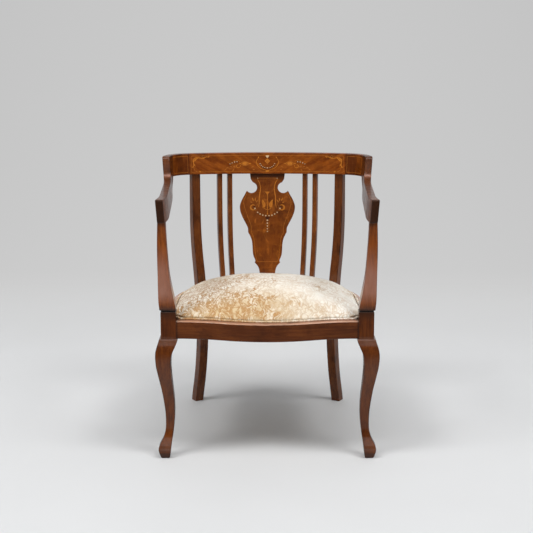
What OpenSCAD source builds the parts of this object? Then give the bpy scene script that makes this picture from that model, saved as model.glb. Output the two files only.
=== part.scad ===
// Horseshoe-backed armchair of about 1905 in mahogany, with a pierced splat, square sticks,
// swan-neck arms, square cabriole front legs and a sprung, velvet-covered seat.
// The chair faces -Y and stands on z = 0. All sizes are in millimetres.

/* [Overall] */
// Height from the floor to the top of the crest rail
chair_h = 757; // [735:1:780]
// Width across the outer faces of the two front leg blocks
front_w = 560; // [540:1:580]
// Height from the floor to the top of the seat rails
seat_h = 373; // [358:1:388]

/* [Crest rail] */
// Height of the crest rail's band
crest_h = 62; // [54:1:70]
// Thickness of the crest rail, its corner returns and the arms
band_t = 20.5; // [18:0.5:23]
// Radius of the crest rail's long inner curve
crest_r = 1040; // [1000:10:1100]
// Radius of the inner curve of each corner return
corner_r = 64.5; // [56:0.5:70]
// Half width of the crest rail between its two joints
crest_half = 229; // [223:1:233]
// Outward lean of the whole band in degrees
lean = 4.5; // [3:0.5:6]
// Width of the small chamfer along the band's edges
arris = 1.6; // [1:0.1:2.4]

/* [Arms] */
// Height from the floor to the flat top of each arm
arm_h = 699; // [690:1:706]
// Height of the arm's end face
arm_depth = 61.5; // [56:0.5:68]
// Angle in plan between each arm and the chair's centre line
splay = 2.5; // [1.5:0.25:3]
// Length of the arm's outswept front end
flare_l = 100; // [84:2:120]
// Radius of the outswept front end in plan
flare_r = 590; // [500:10:700]
// How far the arm's end stands in front of the front leg's block
arm_reach = 15; // [10:1:20]

/* [Arm supports] */
// Width of the support's front face at its top
support_w = 22; // [20:0.5:24]
// Depth of the support at its top
support_d = 38; // [34:1:42]
// How far the support's outer face stands outside the leg block
support_out = 7; // [5:0.5:8]
// Height of the sunk line under the support
neck_h = 4; // [3:0.5:6]
// Depth of the sunk line under the support
neck_in = 1.5; // [1.5:0.25:3]

/* [Front legs] */
// Side of the square block at the top of the front leg
block_w = 40.5; // [38:0.5:43]
// Height of the block above the seat rails
block_rise = 27; // [22:1:30]
// Width of the chamfer round the block's top
block_chamfer = 1; // [0.5:0.25:1.25]

/* [Seat frame] */
// Height of the seat rails
rail_h = 46; // [40:1:52]
// Thickness of the front seat rail
rail_t = 34; // [30:1:36]
// Thickness of the side and back seat rails
side_t = 25; // [23:0.5:27]
// Slope of the seat down towards the back in degrees
rake = 1.9; // [1:0.1:2.5]
// Angle in plan at which the side rails draw in towards the back
taper = 1.4; // [1:0.1:2]
// How far the front rail bows forward
bow = 42; // [34:1:48]
// Distance from the block's front face back to the bowed rail's end
rail_set = 1.5; // [1:0.5:4]
// Depth of the seat frame, from the block's front to the middle of the back rail
frame_d = 518; // [510:1:526]
// Distance from the block's outer face in to the side rail's outer face
side_set = 5; // [3:0.5:8]
// Radius of the back seat rail's middle line
back_r = 950; // [900:10:1000]
// Length of the rail tenons
tenon_l = 13.5; // [10:0.5:14]
// Thickness of the rail tenons
tenon_t = 10; // [8:0.5:11]

/* [Back] */
// Width of each back post
post_w = 26.5; // [24:0.5:28]
// Depth of each back post at the seat
post_d = 28; // [26:0.5:30]
// Distance of each back post's top from the centre line
post_x = 215; // [212:1:217]
// How far the posts, sticks and splat sweep forward below the crest rail
sweep = 39; // [34:1:44]
// Angle in plan at which the back posts are set
fan = 30; // [26:1:34]
// Side of the square sticks
stick_w = 14; // [12:0.5:15]
// Distance of the outer stick's top from the centre line
stick_outer_x = 142.5; // [138:0.5:146]
// Distance of the inner stick's top from the centre line
stick_inner_x = 112.5; // [109:0.5:115]
// Depth to which sticks and splat are let into the rails
housing = 7; // [5:0.5:9]

/* [Splat] */
// Half of the splat's greatest width
splat_half = 82.5; // [78:0.5:86]
// Thickness of the splat
splat_t = 9; // [8:0.5:11]
// Radius of the round bite on each side of the splat
bite_r = 16.5; // [15:0.5:17.5]

/* [Seat] */
// Height of the cushion's crown above the seat rails
crown = 79; // [72:1:86]
// Width of bare wood in front of the piping on the front rail
show_wood = 21; // [18:0.5:23]
// Width of bare wood outside the piping on the side rails
show_side = 12; // [10:0.5:13]
// Radius of the piping
piping_r = 3; // [2.5:0.25:3.5]
// Thickness of the stuffing pad inside the cover
pad_t = 24; // [18:1:28]
// Thickness of the hessian
hessian_t = 1.2; // [0.8:0.1:1.6]
// Width of the webbing straps
strap_w = 50; // [44:1:54]
// Thickness of the webbing straps
strap_t = 1.6; // [1.2:0.1:2]
// Number of straps each way
straps = 4; // [3:1:5]
// Wire thickness of the seat springs
wire_d = 3.2; // [2.8:0.1:3.6]
// Outside diameter of the seat springs at their ends
spring_d = 70; // [60:1:76]

/* [Hidden] */
$fn = 64;

mahogany = "#6b3519";
mahogany_dark = "#4a2412";
veneer = "#8a4a1c";
beech = "#c59a63";
velvet = "#d8c193";
jute = "#a98f5e";
steel = "#8b8d90";

// Clearance of glued joints, and the overrun of every cut
fit = 0.15;
over = 5;
rest = 0.3;

// Levels
crest_bottom = chair_h - crest_h;
arm_bottom = arm_h - arm_depth;
rail_bottom = seat_h - rail_h;
block_top = seat_h + block_rise;
support_bottom = block_top + neck_h;
support_h = arm_bottom - support_bottom;

// Plan positions of the front corner
block_out = front_w / 2;
block_in = block_out - block_w;
leg_foot_share = 0.22;
block_front = block_w * leg_foot_share;
block_back = block_front + block_w;
arm_front = block_front - arm_reach;

// Front rail: a middle arc that bows forward, tangent to two end arcs that turn back
// until they meet the blocks squarely
bow_end = block_front + rail_set;
bow_half = block_in / 2;
bow_r = (bow_half * bow_half + bow * bow / 4) / bow;
bow_cy = bow_end - bow + bow_r;
bow_ey = bow_end - bow_r;
// Front line of the rail at x, or the line d behind it
function front_line(x, d) = let (u = abs(x)) u <= bow_half * (bow_r - d) / bow_r
    ? bow_cy - sqrt(pow(bow_r - d, 2) - u * u)
    : bow_ey + sqrt(pow(bow_r + d, 2) - pow(u - block_in, 2));

// Back rail and the uprights' shared curve
back_y = block_front + frame_d;
back_cy = back_y - back_r;
upright_shares = [
    [0, -0.05], [0.039, -0.2], [0.1, -0.487], [0.163, -0.72], [0.237, -0.91], [0.288, -0.987],
    [0.345, -1], [0.417, -0.945], [0.506, -0.775], [0.583, -0.55], [0.647, -0.32], [0.72, -0.13],
    [0.79, -0.03], [0.863, 0], [1, 0]
];
seat_curve_share = -0.68;
seat_level_share = -0.82;

// Crest rail, corner returns and arms, all tangent to one another in plan
band_h = band_t / cos(lean);
crest_mid_y = back_y - seat_curve_share * sweep;
crest_cy = crest_mid_y - band_h / 2 - crest_r;
joint_a = asin(crest_half / crest_r);
corner_x = (crest_r - corner_r) * sin(joint_a);
corner_y = crest_cy + (crest_r - corner_r) * cos(joint_a);
arm_x = corner_x + corner_r * cos(splay);
arm_y = corner_y - corner_r * sin(splay);
arm_l = arm_y - arm_front;
// Part of the corner's turn, in degrees, that is worked in one piece with the arm
neck_turn = 26;
neck_y = corner_y + corner_r * sin(neck_turn - splay);
arm_run = neck_y - arm_front;

function on_crest(x) = crest_cy + sqrt(pow(crest_r + band_h / 2, 2) - x * x);
post_y = on_crest(post_x);

// A back post's centre at the height of the rails
post_sx = post_x + sin(fan) * sweep * seat_level_share;
post_sy = post_y + cos(fan) * sweep * seat_level_share;

// Side rail: straight, then a tangent arc through the post, in a frame turned by the
// taper about the rail's outer front corner
side_out = block_out - side_set;
side_mid = side_out - side_t / 2;
side_turn_share = 0.62;
side_turn = block_front + frame_d * side_turn_share;
function to_side(p) = let (x = p[0] - side_out, y = p[1] - block_back)
    [side_out + x * cos(taper) + y * sin(taper), block_back - x * sin(taper) + y * cos(taper)];
function from_side(p) = let (x = p[0] - side_out, y = p[1] - block_back)
    [side_out + x * cos(taper) - y * sin(taper), block_back + x * sin(taper) + y * cos(taper)];
post_local = to_side([post_sx, post_sy]);
side_dx = side_mid - post_local[0];
side_dy = post_local[1] - side_turn;
side_r = (side_dx * side_dx + side_dy * side_dy) / (2 * side_dx);
side_cx = side_mid - side_r;
post_a = atan2(side_dy, post_local[0] - side_cx);
// Height of the back rail's top
back_seat_h = seat_h - (post_sy - block_back) * tan(rake);

// The chair's box is centred on the origin
box_front = bow_end - bow;
box_back = crest_cy + crest_r + band_h + crest_h * tan(lean);
mid_y = (box_front + box_back) / 2;

// Point at share t of the smooth curve between b and c
function curve_point(a, b, c, d, t) =
    0.5 * (2 * b + (c - a) * t + (2 * a - 5 * b + 4 * c - d) * t * t
    + (3 * b - a - 3 * c + d) * t * t * t);
// Smooth curve through points p, with n steps between each two
function smooth(p, n) = [
    for (i = [0 : len(p) - 2], k = [0 : n - 1])
        curve_point(p[max(i - 1, 0)], p[i], p[i + 1], p[min(i + 2, len(p) - 1)], k / n),
    p[len(p) - 1]
];
function flip(p) = [for (i = [len(p) - 1 : -1 : 0]) p[i]];
function unit(v) = v / norm(v);

// Everything is drawn in place and then centred
module placed() {
    translate([0, -mid_y, 0]) children();
}
// Slopes the seat down towards the back
module raked() {
    translate([0, block_back, seat_h]) rotate([-rake, 0, 0]) translate([0, -block_back, -seat_h]) children();
}
module in_side_frame() {
    translate([side_out, block_back, 0]) rotate([0, 0, taper]) translate([-side_out, -block_back, 0]) children();
}
module both_sides() {
    children();
    mirror([1, 0, 0]) children();
}
// Extrudes a y-z outline along x, centred
module side_cut(w) {
    rotate([90, 0, 90]) linear_extrude(w, center = true) children();
}
// Extrudes an x-z outline along y, from y0 to y1
module front_cut(y0, y1) {
    translate([0, y1, 0]) rotate([90, 0, 0]) linear_extrude(y1 - y0) children();
}
// Wedge in plan from angle a0 to a1, reaching past radius r
module wedge(r, a0, a1) {
    reach = 2 * r;
    polygon([
        [0, 0], [reach * cos(a0), reach * sin(a0)],
        [reach * cos((a0 + a1) / 2), reach * sin((a0 + a1) / 2)],
        [reach * cos(a1), reach * sin(a1)]
    ]);
}
// Flat ring sector in plan
module arc_band(r0, r1, a0, a1) {
    intersection() {
        difference() {
            circle(r1, $fn = 180);
            circle(r0, $fn = 180);
        }
        wedge(r1, a0, a1);
    }
}

// Front leg

// Outer and inner outlines of the cabriole, from the knee down: height, then reach beyond
// the block's faces, as shares of the leg's height and of the block's width
leg_outer_shares = [
    [1, 0.115], [0.976, 0.165], [0.947, 0.25], [0.905, 0.34], [0.86, 0.37], [0.785, 0.33],
    [0.714, 0.228], [0.644, 0.115], [0.573, 0], [0.502, -0.09], [0.432, -0.165], [0.364, -0.212],
    [0.3, -0.228], [0.23, -0.2], [0.17, -0.07], [0.137, 0.07], [0.109, 0.19], [0.078, 0.25],
    [0.041, 0.2], [0, 0.085]
];
leg_inner_shares = [
    [1, -0.1], [0.976, -0.045], [0.947, 0.055], [0.917, 0.17], [0.885, 0.28], [0.852, 0.33],
    [0.785, 0.36], [0.714, 0.343], [0.644, 0.298], [0.573, 0.245], [0.502, 0.198], [0.432, 0.17],
    [0.364, 0.172], [0.295, 0.207], [0.228, 0.267], [0.166, 0.338], [0.109, 0.41], [0.041, 0.475],
    [0, 0.53]
];
function leg_outline() = concat(
    smooth([for (s = leg_outer_shares) [s[1] * block_w, s[0] * rail_bottom]], 3),
    flip(smooth([for (s = leg_inner_shares) [(s[1] - 1) * block_w, s[0] * rail_bottom]], 3))
);
module tenon_front(g) {
    y = bow_end + rail_t / 2;
    z0 = rail_bottom + rail_h / 6;
    raked() translate([block_in - over, y - tenon_t / 2 - g, z0 - g])
        cube([tenon_l + over + g, tenon_t + 2 * g, rail_h * 2 / 3 + 2 * g]);
}
module tenon_side(g) {
    z0 = rail_bottom + rail_h / 6;
    x = side_out - side_t / 2;
    raked() translate([x - tenon_t / 2 - g, block_back - tenon_l - g, z0 - g])
        cube([tenon_t + 2 * g, tenon_l + over + g, rail_h * 2 / 3 + 2 * g]);
}
dowel_r = 5;
dowel_l = 36;
module support_dowel(g) {
    translate([block_out - block_w / 2, block_front + block_w / 2, block_top - dowel_l / 2 + neck_h / 2 - g])
        cylinder(dowel_l + 2 * g, r = dowel_r + g);
}
module leg_block() {
    c = block_chamfer;
    translate([block_in, block_front, rail_bottom]) cube([block_w, block_w, block_rise + rail_h - c]);
    // chamfered top
    intersection() {
        front_cut(block_front, block_back) polygon([
            [block_in, block_top - c], [block_in + c, block_top],
            [block_out - c, block_top], [block_out, block_top - c]
        ]);
        translate([(block_in + block_out) / 2, 0, 0]) side_cut(block_w) polygon([
            [block_front, block_top - c], [block_front + c, block_top],
            [block_back - c, block_top], [block_back, block_top - c]
        ]);
    }
    // sunk neck that carries the arm support
    translate([block_in + neck_in, block_front + neck_in, block_top - c])
        cube([block_w - 2 * neck_in, block_w - 2 * neck_in, neck_h + c]);
}
module front_leg() {
    difference() {
        union() {
            intersection() {
                front_cut(block_front - block_w, block_back + block_w)
                    translate([block_out, 0]) polygon(leg_outline());
                translate([block_out, 0, 0]) side_cut(3 * block_w)
                    translate([block_front, 0]) mirror([1, 0]) polygon(leg_outline());
            }
            leg_block();
        }
        tenon_front(fit);
        tenon_side(fit);
        support_dowel(fit);
    }
}

// Uprights of the back

// Depth of an upright at height z, from d0 at the foot and seat to d1 at the top
function upright_depth(z, d0, d1) =
    z < seat_h ? d0 : d0 + (d1 - d0) * (z - seat_h) / (crest_bottom - seat_h);
// Y-z outline of an upright between its depths d0 and d1, g larger all round
function upright_outline(d0, d1, g) = let (
    p = smooth([for (s = upright_shares) [s[1] * sweep, s[0] * crest_bottom]], 4)
) concat(
    [for (q = p) [q[0] - upright_depth(q[1], d0, d1) / 2 - g, q[1]]],
    [[-d1 / 2 - g, chair_h], [d1 / 2 + g, chair_h]],
    flip([for (q = p) [q[0] + upright_depth(q[1], d0, d1) / 2 + g, q[1]]])
);
// An upright at x, turned by angle a, of width w and depths d0 to d1, from z0 to z1
module upright(x, a, w, d0, d1, z0, z1, g) {
    translate([x, on_crest(x), 0]) rotate([0, 0, -a]) side_cut(w + 2 * g) intersection() {
        polygon(upright_outline(d0, d1, g));
        translate([-sweep * 3, z0 - g]) square([sweep * 6, z1 - z0 + 2 * g]);
    }
}
post_top_share = 0.73;
tenon_share = 0.5;
tenon_top_share = 0.22;
module post_tenon(g) {
    upright(post_x, fan, post_w * tenon_share, post_d * tenon_share, post_d * tenon_share,
        crest_bottom - over, crest_bottom + crest_h * tenon_top_share, g);
}
module back_post(g) {
    upright(post_x, fan, post_w, post_d, post_d * post_top_share, 0, crest_bottom, g);
}
module stick(x, g) {
    upright(x, fan * x / post_x, stick_w, stick_w, stick_w, back_seat_h - housing, crest_bottom + housing, g);
}

// Seat frame
rail_steps = 60;
module front_rail_body() {
    x = [for (i = [0 : rail_steps]) block_in * (2 * i / rail_steps - 1)];
    raked() translate([0, 0, rail_bottom]) linear_extrude(rail_h)
        polygon(concat([for (u = x) [u, front_line(u, 0)]], flip([for (u = x) [u, front_line(u, rail_t)]])));
}
// Half of space on one side of a back post: k = 1 outside it, k = -1 inside
module beside_post(k) {
    reach = 2 * back_y;
    translate([post_sx, post_sy, 0]) rotate([0, 0, -fan])
        translate([k > 0 ? post_w / 2 : -post_w / 2 - reach, -reach / 2, 0]) cube([reach, reach, chair_h]);
}
module side_rail_body() {
    overlap_a = asin(post_w / side_r);
    raked() in_side_frame() union() {
        translate([side_out - side_t, block_back - over, rail_bottom])
            cube([side_t, side_turn - block_back + over, rail_h]);
        translate([side_cx, side_turn, rail_bottom]) linear_extrude(rail_h)
            arc_band(side_r - side_t / 2, side_r + side_t / 2, 0, post_a + overlap_a);
    }
}
module side_rail() {
    union() {
        intersection() {
            difference() {
                side_rail_body();
                leg_block();
            }
            beside_post(1);
        }
        intersection() {
            tenon_side(0);
            translate([block_in, block_front, rail_bottom - over]) cube([block_w, block_w, rail_h + over]);
        }
    }
}
function back_at(x, d) = back_cy + sqrt(pow(back_r + d, 2) - x * x);
module back_rail_body() {
    a = atan2(post_sx + post_w, post_sy - back_cy);
    raked() translate([0, back_cy, rail_bottom]) linear_extrude(rail_h)
        arc_band(back_r - side_t / 2, back_r + side_t / 2, 90 - a, 90 + a);
}
module back_rail() {
    difference() {
        intersection() {
            back_rail_body();
            beside_post(-1);
            mirror([1, 0, 0]) beside_post(-1);
        }
        both_sides() {
            stick(stick_outer_x, fit);
            stick(stick_inner_x, fit);
        }
        splat_body(fit);
    }
}
// Glue blocks, rubbed into the inside corners of the frame
glue_leg = 46;
glue_h_share = 0.8;
glue_gap = 0.2;
module corner_block(p) {
    raked() translate([0, 0, rail_bottom + rail_h * (1 - glue_h_share) / 2])
        linear_extrude(rail_h * glue_h_share) polygon(p);
}
module corner_block_front() {
    x0 = block_in - glue_leg * 0.75;
    x2 = block_in - glue_gap;
    y0 = block_back + rail_h * tan(rake) + glue_gap;
    x1 = side_out - side_t - glue_gap;
    a = [for (k = [0 : 4]) let (x = x0 + (x2 - x0) * k / 4) [x, front_line(x, rail_t + glue_gap)]];
    e = from_side([x1, block_back + glue_leg * 0.8]);
    corner_block(concat(a, [
        [x2, y0], [from_side([x1, y0])[0], y0], e, e - [glue_leg / 5, 0], a[0] + [0, glue_leg / 5]
    ]));
}
module corner_block_back() {
    r0 = side_r - side_t / 2 - glue_gap;
    d = -side_t / 2 - glue_gap;
    p = [for (k = [0.55, 0.88]) from_side([side_cx + r0 * cos(post_a * k), side_turn + r0 * sin(post_a * k)])];
    x2 = post_sx - post_w;
    x3 = post_sx - post_w - glue_leg * 0.6;
    corner_block([
        p[0], p[1], [x2, back_at(x2, d)], [x3, back_at(x3, d)], [x3, back_at(x3, d) - glue_leg / 5],
        p[0] - [glue_leg / 5, 0]
    ]);
}

// Arm supports: front and side outlines, height then reach, as shares of the support's
// height and of the block's width; the widths at the top are the support's own
support_outer_shares = [
    [0, 0.4], [0.05, 0.5], [0.1, 0.66], [0.2, 0.77], [0.37, 0.87], [0.55, 1], [0.75, 1.01], [1, 0.75]
];
support_inner_shares = [
    [0, 1], [0.04, 0.97], [0.12, 0.82], [0.21, 0.65], [0.3, 0.5], [0.39, 0.37], [0.5, 0.27],
    [0.62, 0.19], [0.8, 0.08], [1, 0]
];
support_front_shares = [[0, 0], [0.06, -0.3], [0.13, -0.22], [0.3, 0.25], [0.5, 0.75], [0.72, 1], [1, 0.8]];
support_back_shares = [[0, 0], [0.08, 0.1], [0.2, 0.05], [0.4, -0.3], [0.6, -0.3], [0.8, 0], [1, 0.45]];
support_bend = 11;
function support_z(s) = support_bottom + s * support_h;
module arm_support_body() {
    top_in = block_out + support_out - support_w;
    outer = smooth([for (s = support_outer_shares) [block_out + s[1] * support_out, support_z(s[0])]], 3);
    inner = smooth([for (s = support_inner_shares)
        [top_in + s[1] * (block_in - top_in), support_z(s[0])]], 3);
    spare = block_w - support_d;
    front = smooth([for (s = support_front_shares)
        [block_front + s[1] * support_bend, support_z(s[0])]], 4);
    back = smooth([for (s = support_back_shares)
        [block_back - spare * s[0] + s[1] * support_bend, support_z(s[0])]], 4);
    intersection() {
        front_cut(block_front - block_w, block_back + block_w) polygon(concat(outer, flip(inner)));
        translate([block_out, 0, 0]) side_cut(3 * block_w) polygon(concat(front, flip(back)));
    }
}
module arm_dowel(g) {
    translate([
        block_out + support_out - support_w * 0.66, block_front + block_w * 0.6,
        arm_bottom - dowel_l / 2 - g
    ]) cylinder(dowel_l + 2 * g, r = dowel_r * 0.8 + g);
}
module arm_support() {
    difference() {
        arm_support_body();
        support_dowel(fit);
        arm_dowel(fit);
    }
}

// Crest rail and its corner returns: a leaning section swept round in plan
module band_section(r) {
    slope = tan(lean);
    w = band_h;
    polygon([
        [r + arris, crest_bottom], [r + w - arris, crest_bottom],
        [r + w + slope * arris, crest_bottom + arris],
        [r + w + slope * (crest_h - arris), chair_h - arris],
        [r + w + slope * crest_h - arris, chair_h], [r + slope * crest_h + arris, chair_h],
        [r + slope * (crest_h - arris), chair_h - arris], [r + slope * arris, crest_bottom + arris]
    ]);
}
// Dowels across the joint at each end of the crest rail, one above the other
joint_dowel_r = 4;
joint_dowel_l = 30;
joint_dowel_shares = [0.36, 0.72];
module crest_joint_dowels(g) {
    for (s = joint_dowel_shares)
        translate([0, crest_cy, crest_bottom + s * crest_h]) rotate([0, 0, 90 - joint_a])
            translate([crest_r + band_h / 2 + s * crest_h * tan(lean), 0, 0])
            rotate([90, 0, 0]) cylinder(joint_dowel_l + 2 * g, r = joint_dowel_r + g, center = true);
}
module arm_joint_dowels(g) {
    for (s = joint_dowel_shares)
        translate([corner_x, corner_y, crest_bottom + s * crest_h]) rotate([0, 0, neck_turn - splay])
            translate([corner_r + band_h / 2 + s * crest_h * tan(lean), 0, 0])
            rotate([90, 0, 0]) cylinder(joint_dowel_l + 2 * g, r = joint_dowel_r + g, center = true);
}
module crest_return() {
    difference() {
        translate([corner_x, corner_y, 0]) rotate([0, 0, neck_turn - splay])
            rotate_extrude(angle = 90 - joint_a + splay - neck_turn, $fn = 180) band_section(corner_r);
        crest_joint_dowels(fit);
        arm_joint_dowels(fit);
    }
}
module crest() {
    difference() {
        translate([0, crest_cy, 0]) rotate([0, 0, 90 - joint_a])
            rotate_extrude(angle = 2 * joint_a, $fn = 360) band_section(crest_r);
        both_sides() {
            post_tenon(fit);
            stick(stick_outer_x, fit);
            stick(stick_inner_x, fit);
            crest_joint_dowels(fit);
        }
        splat_body(fit);
    }
}

// Arms: the plan leaves the corner, runs straight and is then outswept; the side outline
// drops in a swan neck, dips a little and rises again to the arm's end.
// Distance forward from the joint, then the drop, as shares of the arm's run and of
// the drop from the crest rail to the arm's end
neck_top_shares = [
    [-0.06, 0], [0, 0], [0.045, 0], [0.064, 0.06], [0.08, 0.328], [0.0965, 0.69], [0.115, 0.94],
    [0.142, 1.078], [0.189, 1.138], [0.281, 1.155], [0.435, 1.12], [0.64, 1.07], [0.846, 1.02],
    [0.95, 1.002]
];
neck_low_shares = [
    [-0.06, 0], [0, 0], [0.0144, 0.243], [0.035, 0.522], [0.0595, 0.783], [0.0965, 0.939],
    [0.148, 1.009], [0.23, 1.03], [0.435, 1.026], [0.64, 1.009], [0.75, 1], [0.8, 1], [0.84, 1],
    [0.95, 1]
];
end_round_share = 0.08;
function arm_side() = let (
    c = arm_depth * end_round_share,
    top = smooth([for (s = neck_top_shares) [neck_y - s[0] * arm_run, chair_h - s[1] * (chair_h - arm_h)]], 4),
    low = smooth([for (s = neck_low_shares)
        [neck_y - s[0] * arm_run, crest_bottom - s[1] * (crest_bottom - arm_bottom)]], 4)
) concat(
    [for (q = top) [q[0], min(q[1], chair_h)]],
    [[arm_front + c, arm_h], [arm_front, arm_h - c], [arm_front, arm_bottom + c], [arm_front + c, arm_bottom]],
    flip([for (q = low) [q[0], min(q[1], crest_bottom)]])
);
module arm_plan() {
    straight = arm_l - flare_l;
    translate([0, -straight]) square([band_t, straight]);
    translate([flare_r, -straight]) arc_band(flare_r - band_t, flare_r, 180, 180 + 1.3 * atan(flare_l / flare_r));
}
// Leaning section of the corner, taller than the arm
module neck_section() {
    polygon([for (q = [[0, arm_bottom - band_t], [1, arm_bottom - band_t], [1, chair_h + band_t], [0, chair_h + band_t]])
        [corner_r + q[0] * band_h + (q[1] - crest_bottom) * tan(lean), q[1]]]);
}
module arm_body() {
    intersection() {
        union() {
            translate([arm_x, arm_y, crest_bottom]) rotate([0, 0, -splay]) rotate([0, lean, 0])
                translate([0, 0, arm_bottom - crest_bottom - 2 * band_t])
                linear_extrude(chair_h - arm_bottom + 4 * band_t) union() arm_plan();
            translate([corner_x, corner_y, 0]) rotate([0, 0, -splay])
                rotate_extrude(angle = neck_turn, $fn = 180) neck_section();
        }
        translate([arm_x, 0, 0]) side_cut(8 * band_t) polygon(arm_side());
    }
}
module arm() {
    difference() {
        arm_body();
        arm_dowel(fit);
        arm_joint_dowels(fit);
    }
}

// Splat: half outline in three curves that meet in points, height then half width, as
// shares of the height between seat and crest rail and of the splat's half width
splat_foot_shares = [[0.06, 0.28], [0.084, 0.286], [0.118, 0.314], [0.141, 0.36], [0.158, 0.417], [0.171, 0.465]];
splat_waist_shares = [
    [0.171, 0.455], [0.192, 0.443], [0.227, 0.5], [0.265, 0.532], [0.339, 0.549], [0.38, 0.575],
    [0.413, 0.624], [0.447, 0.695]
];
splat_vase_shares = [
    [0.447, 0.7], [0.488, 0.71], [0.512, 0.747], [0.544, 0.81], [0.581, 0.885], [0.619, 0.948],
    [0.655, 0.988], [0.694, 0.998], [0.73, 0.962], [0.768, 0.895], [0.794, 0.835], [0.831, 0.761]
];
splat_ear_share = [0.836, 0.731];
splat_head_shares = [[0.919, 0.527], [0.931, 0.565], [0.95, 0.606], [1, 0.63]];
bite_shares = [0.867, 0.575];
function splat_z(s) = seat_h + s * (crest_bottom - seat_h);
bite_x = bite_shares[1] * splat_half;
bite_z = splat_z(bite_shares[0]);
function splat_points(p, n) = smooth([for (s = p) [s[1] * splat_half, splat_z(s[0])]], n);
function splat_side() = concat(
    [[splat_foot_shares[0][1] * splat_half, back_seat_h - housing]], splat_points(splat_foot_shares, 4),
    splat_points(splat_waist_shares, 4), splat_points(splat_vase_shares, 3),
    [[splat_half * splat_ear_share[1], splat_z(splat_ear_share[0])], [bite_x, bite_z]],
    [for (s = splat_head_shares) [s[1] * splat_half, splat_z(s[0])]],
    [[splat_head_shares[3][1] * splat_half, crest_bottom + housing]]
);
module splat_body(g) {
    right = splat_side();
    y0 = on_crest(0);
    intersection() {
        front_cut(y0 - 3 * sweep, y0 + 3 * sweep) union() {
            difference() {
                polygon(concat(right, [for (q = flip(right)) [-q[0], q[1]]]));
                for (k = [-1, 1])
                    translate([k * bite_x, bite_z]) circle(bite_r);
            }
            // room in the two housings
            if (g > 0) for (e = [[0, 0], [2, 1]]) {
                w = (e[0] == 0 ? splat_foot_shares[0][1] : splat_head_shares[3][1]) * splat_half + g;
                z = e[1] == 0 ? back_seat_h - housing - g : crest_bottom;
                translate([-w, z]) square([2 * w, housing + g]);
            }
        }
        upright(0, 0, 3 * splat_half, splat_t, splat_t, back_seat_h - housing, crest_bottom + housing, g);
    }
}

// Seat outline, d inside the middle of the piping: front bow, notch round the block,
// side, arc, round the post's inner face and along in front of the sticks
edge_gap = 2;
function seat_edge(d, notched = true) = let (
    ins = show_wood + piping_r + d,
    gb = edge_gap + piping_r + d,
    xf = block_in - gb,
    nb = block_back + gb,
    xs = side_out - show_side - piping_r - d,
    rs = side_r + side_t / 2 - show_side - piping_r - d,
    u = [sin(fan), cos(fan)],
    v = [cos(fan), -sin(fan)],
    pc = [post_sx, post_sy] - u * (post_d / 2 + gb),
    p1 = pc + v * (post_w / 2 + gb / 3),
    p2 = pc - v * (post_w / 2 + gb / 3),
    l1 = to_side(p1),
    a1 = atan2(l1[1] - side_turn, l1[0] - side_cx),
    rb = back_r - stick_w * 0.75 - gb
) concat(
    [for (i = [0 : 11]) let (x = xf * i / 12) [x, front_line(x, ins)]],
    notched ? [[xf, front_line(xf, ins)], [xf, nb - gb / 2], [xf + gb / 2, nb],
        from_side([xs - gb / 2, nb + gb / 4])]
        : let (f = [xf, front_line(xf, ins)], b = from_side([xs, nb + gb]), c = [xf, (f[1] + b[1]) / 2])
            [for (t = [0 : 3]) let (u = (t + 0.5) / 4.5) f * pow(1 - u, 2) + c * 2 * u * (1 - u) + b * u * u],
    [for (i = [0 : 4]) from_side([xs, nb + gb + (side_turn - nb - gb) * i / 5])],
    [for (i = [0 : 5]) from_side([side_cx + rs * cos(a1 * i / 6.5), side_turn + rs * sin(a1 * i / 6.5)])],
    [p1, (p1 + p2) / 2, p2],
    [for (i = [1 : 9]) let (x = (p2[0] - gb) * (10 - i) / 9.6) [x, back_cy + sqrt(rb * rb - x * x)]]
);
function ring(d, notched = true) = let (
    h = seat_edge(d, notched),
    rb = back_r - stick_w * 0.75 - edge_gap - piping_r - d
) concat(h, [[0, back_cy + rb]], flip([for (i = [1 : len(h) - 1]) [-h[i][0], h[i][1]]]));

// Piping: a tube round the seat outline
module loop_tube(path, r, z, sides) {
    n = len(path);
    points = [
        for (i = [0 : n - 1])
            let (t = unit(path[(i + 1) % n] - path[(i + n - 1) % n]), m = [t[1], -t[0]])
            for (k = [0 : sides - 1])
                [path[i][0] + m[0] * r * cos(360 * k / sides), path[i][1] + m[1] * r * cos(360 * k / sides),
                    z + r * sin(360 * k / sides)]
    ];
    faces = [
        for (i = [0 : n - 1], k = [0 : sides - 1])
            let (a = i * sides + k, b = i * sides + (k + 1) % sides,
                c = ((i + 1) % n) * sides + (k + 1) % sides, d = ((i + 1) % n) * sides + k)
            for (f = [[a, b, c], [a, c, d]]) f
    ];
    polyhedron(points, faces);
}

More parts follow.
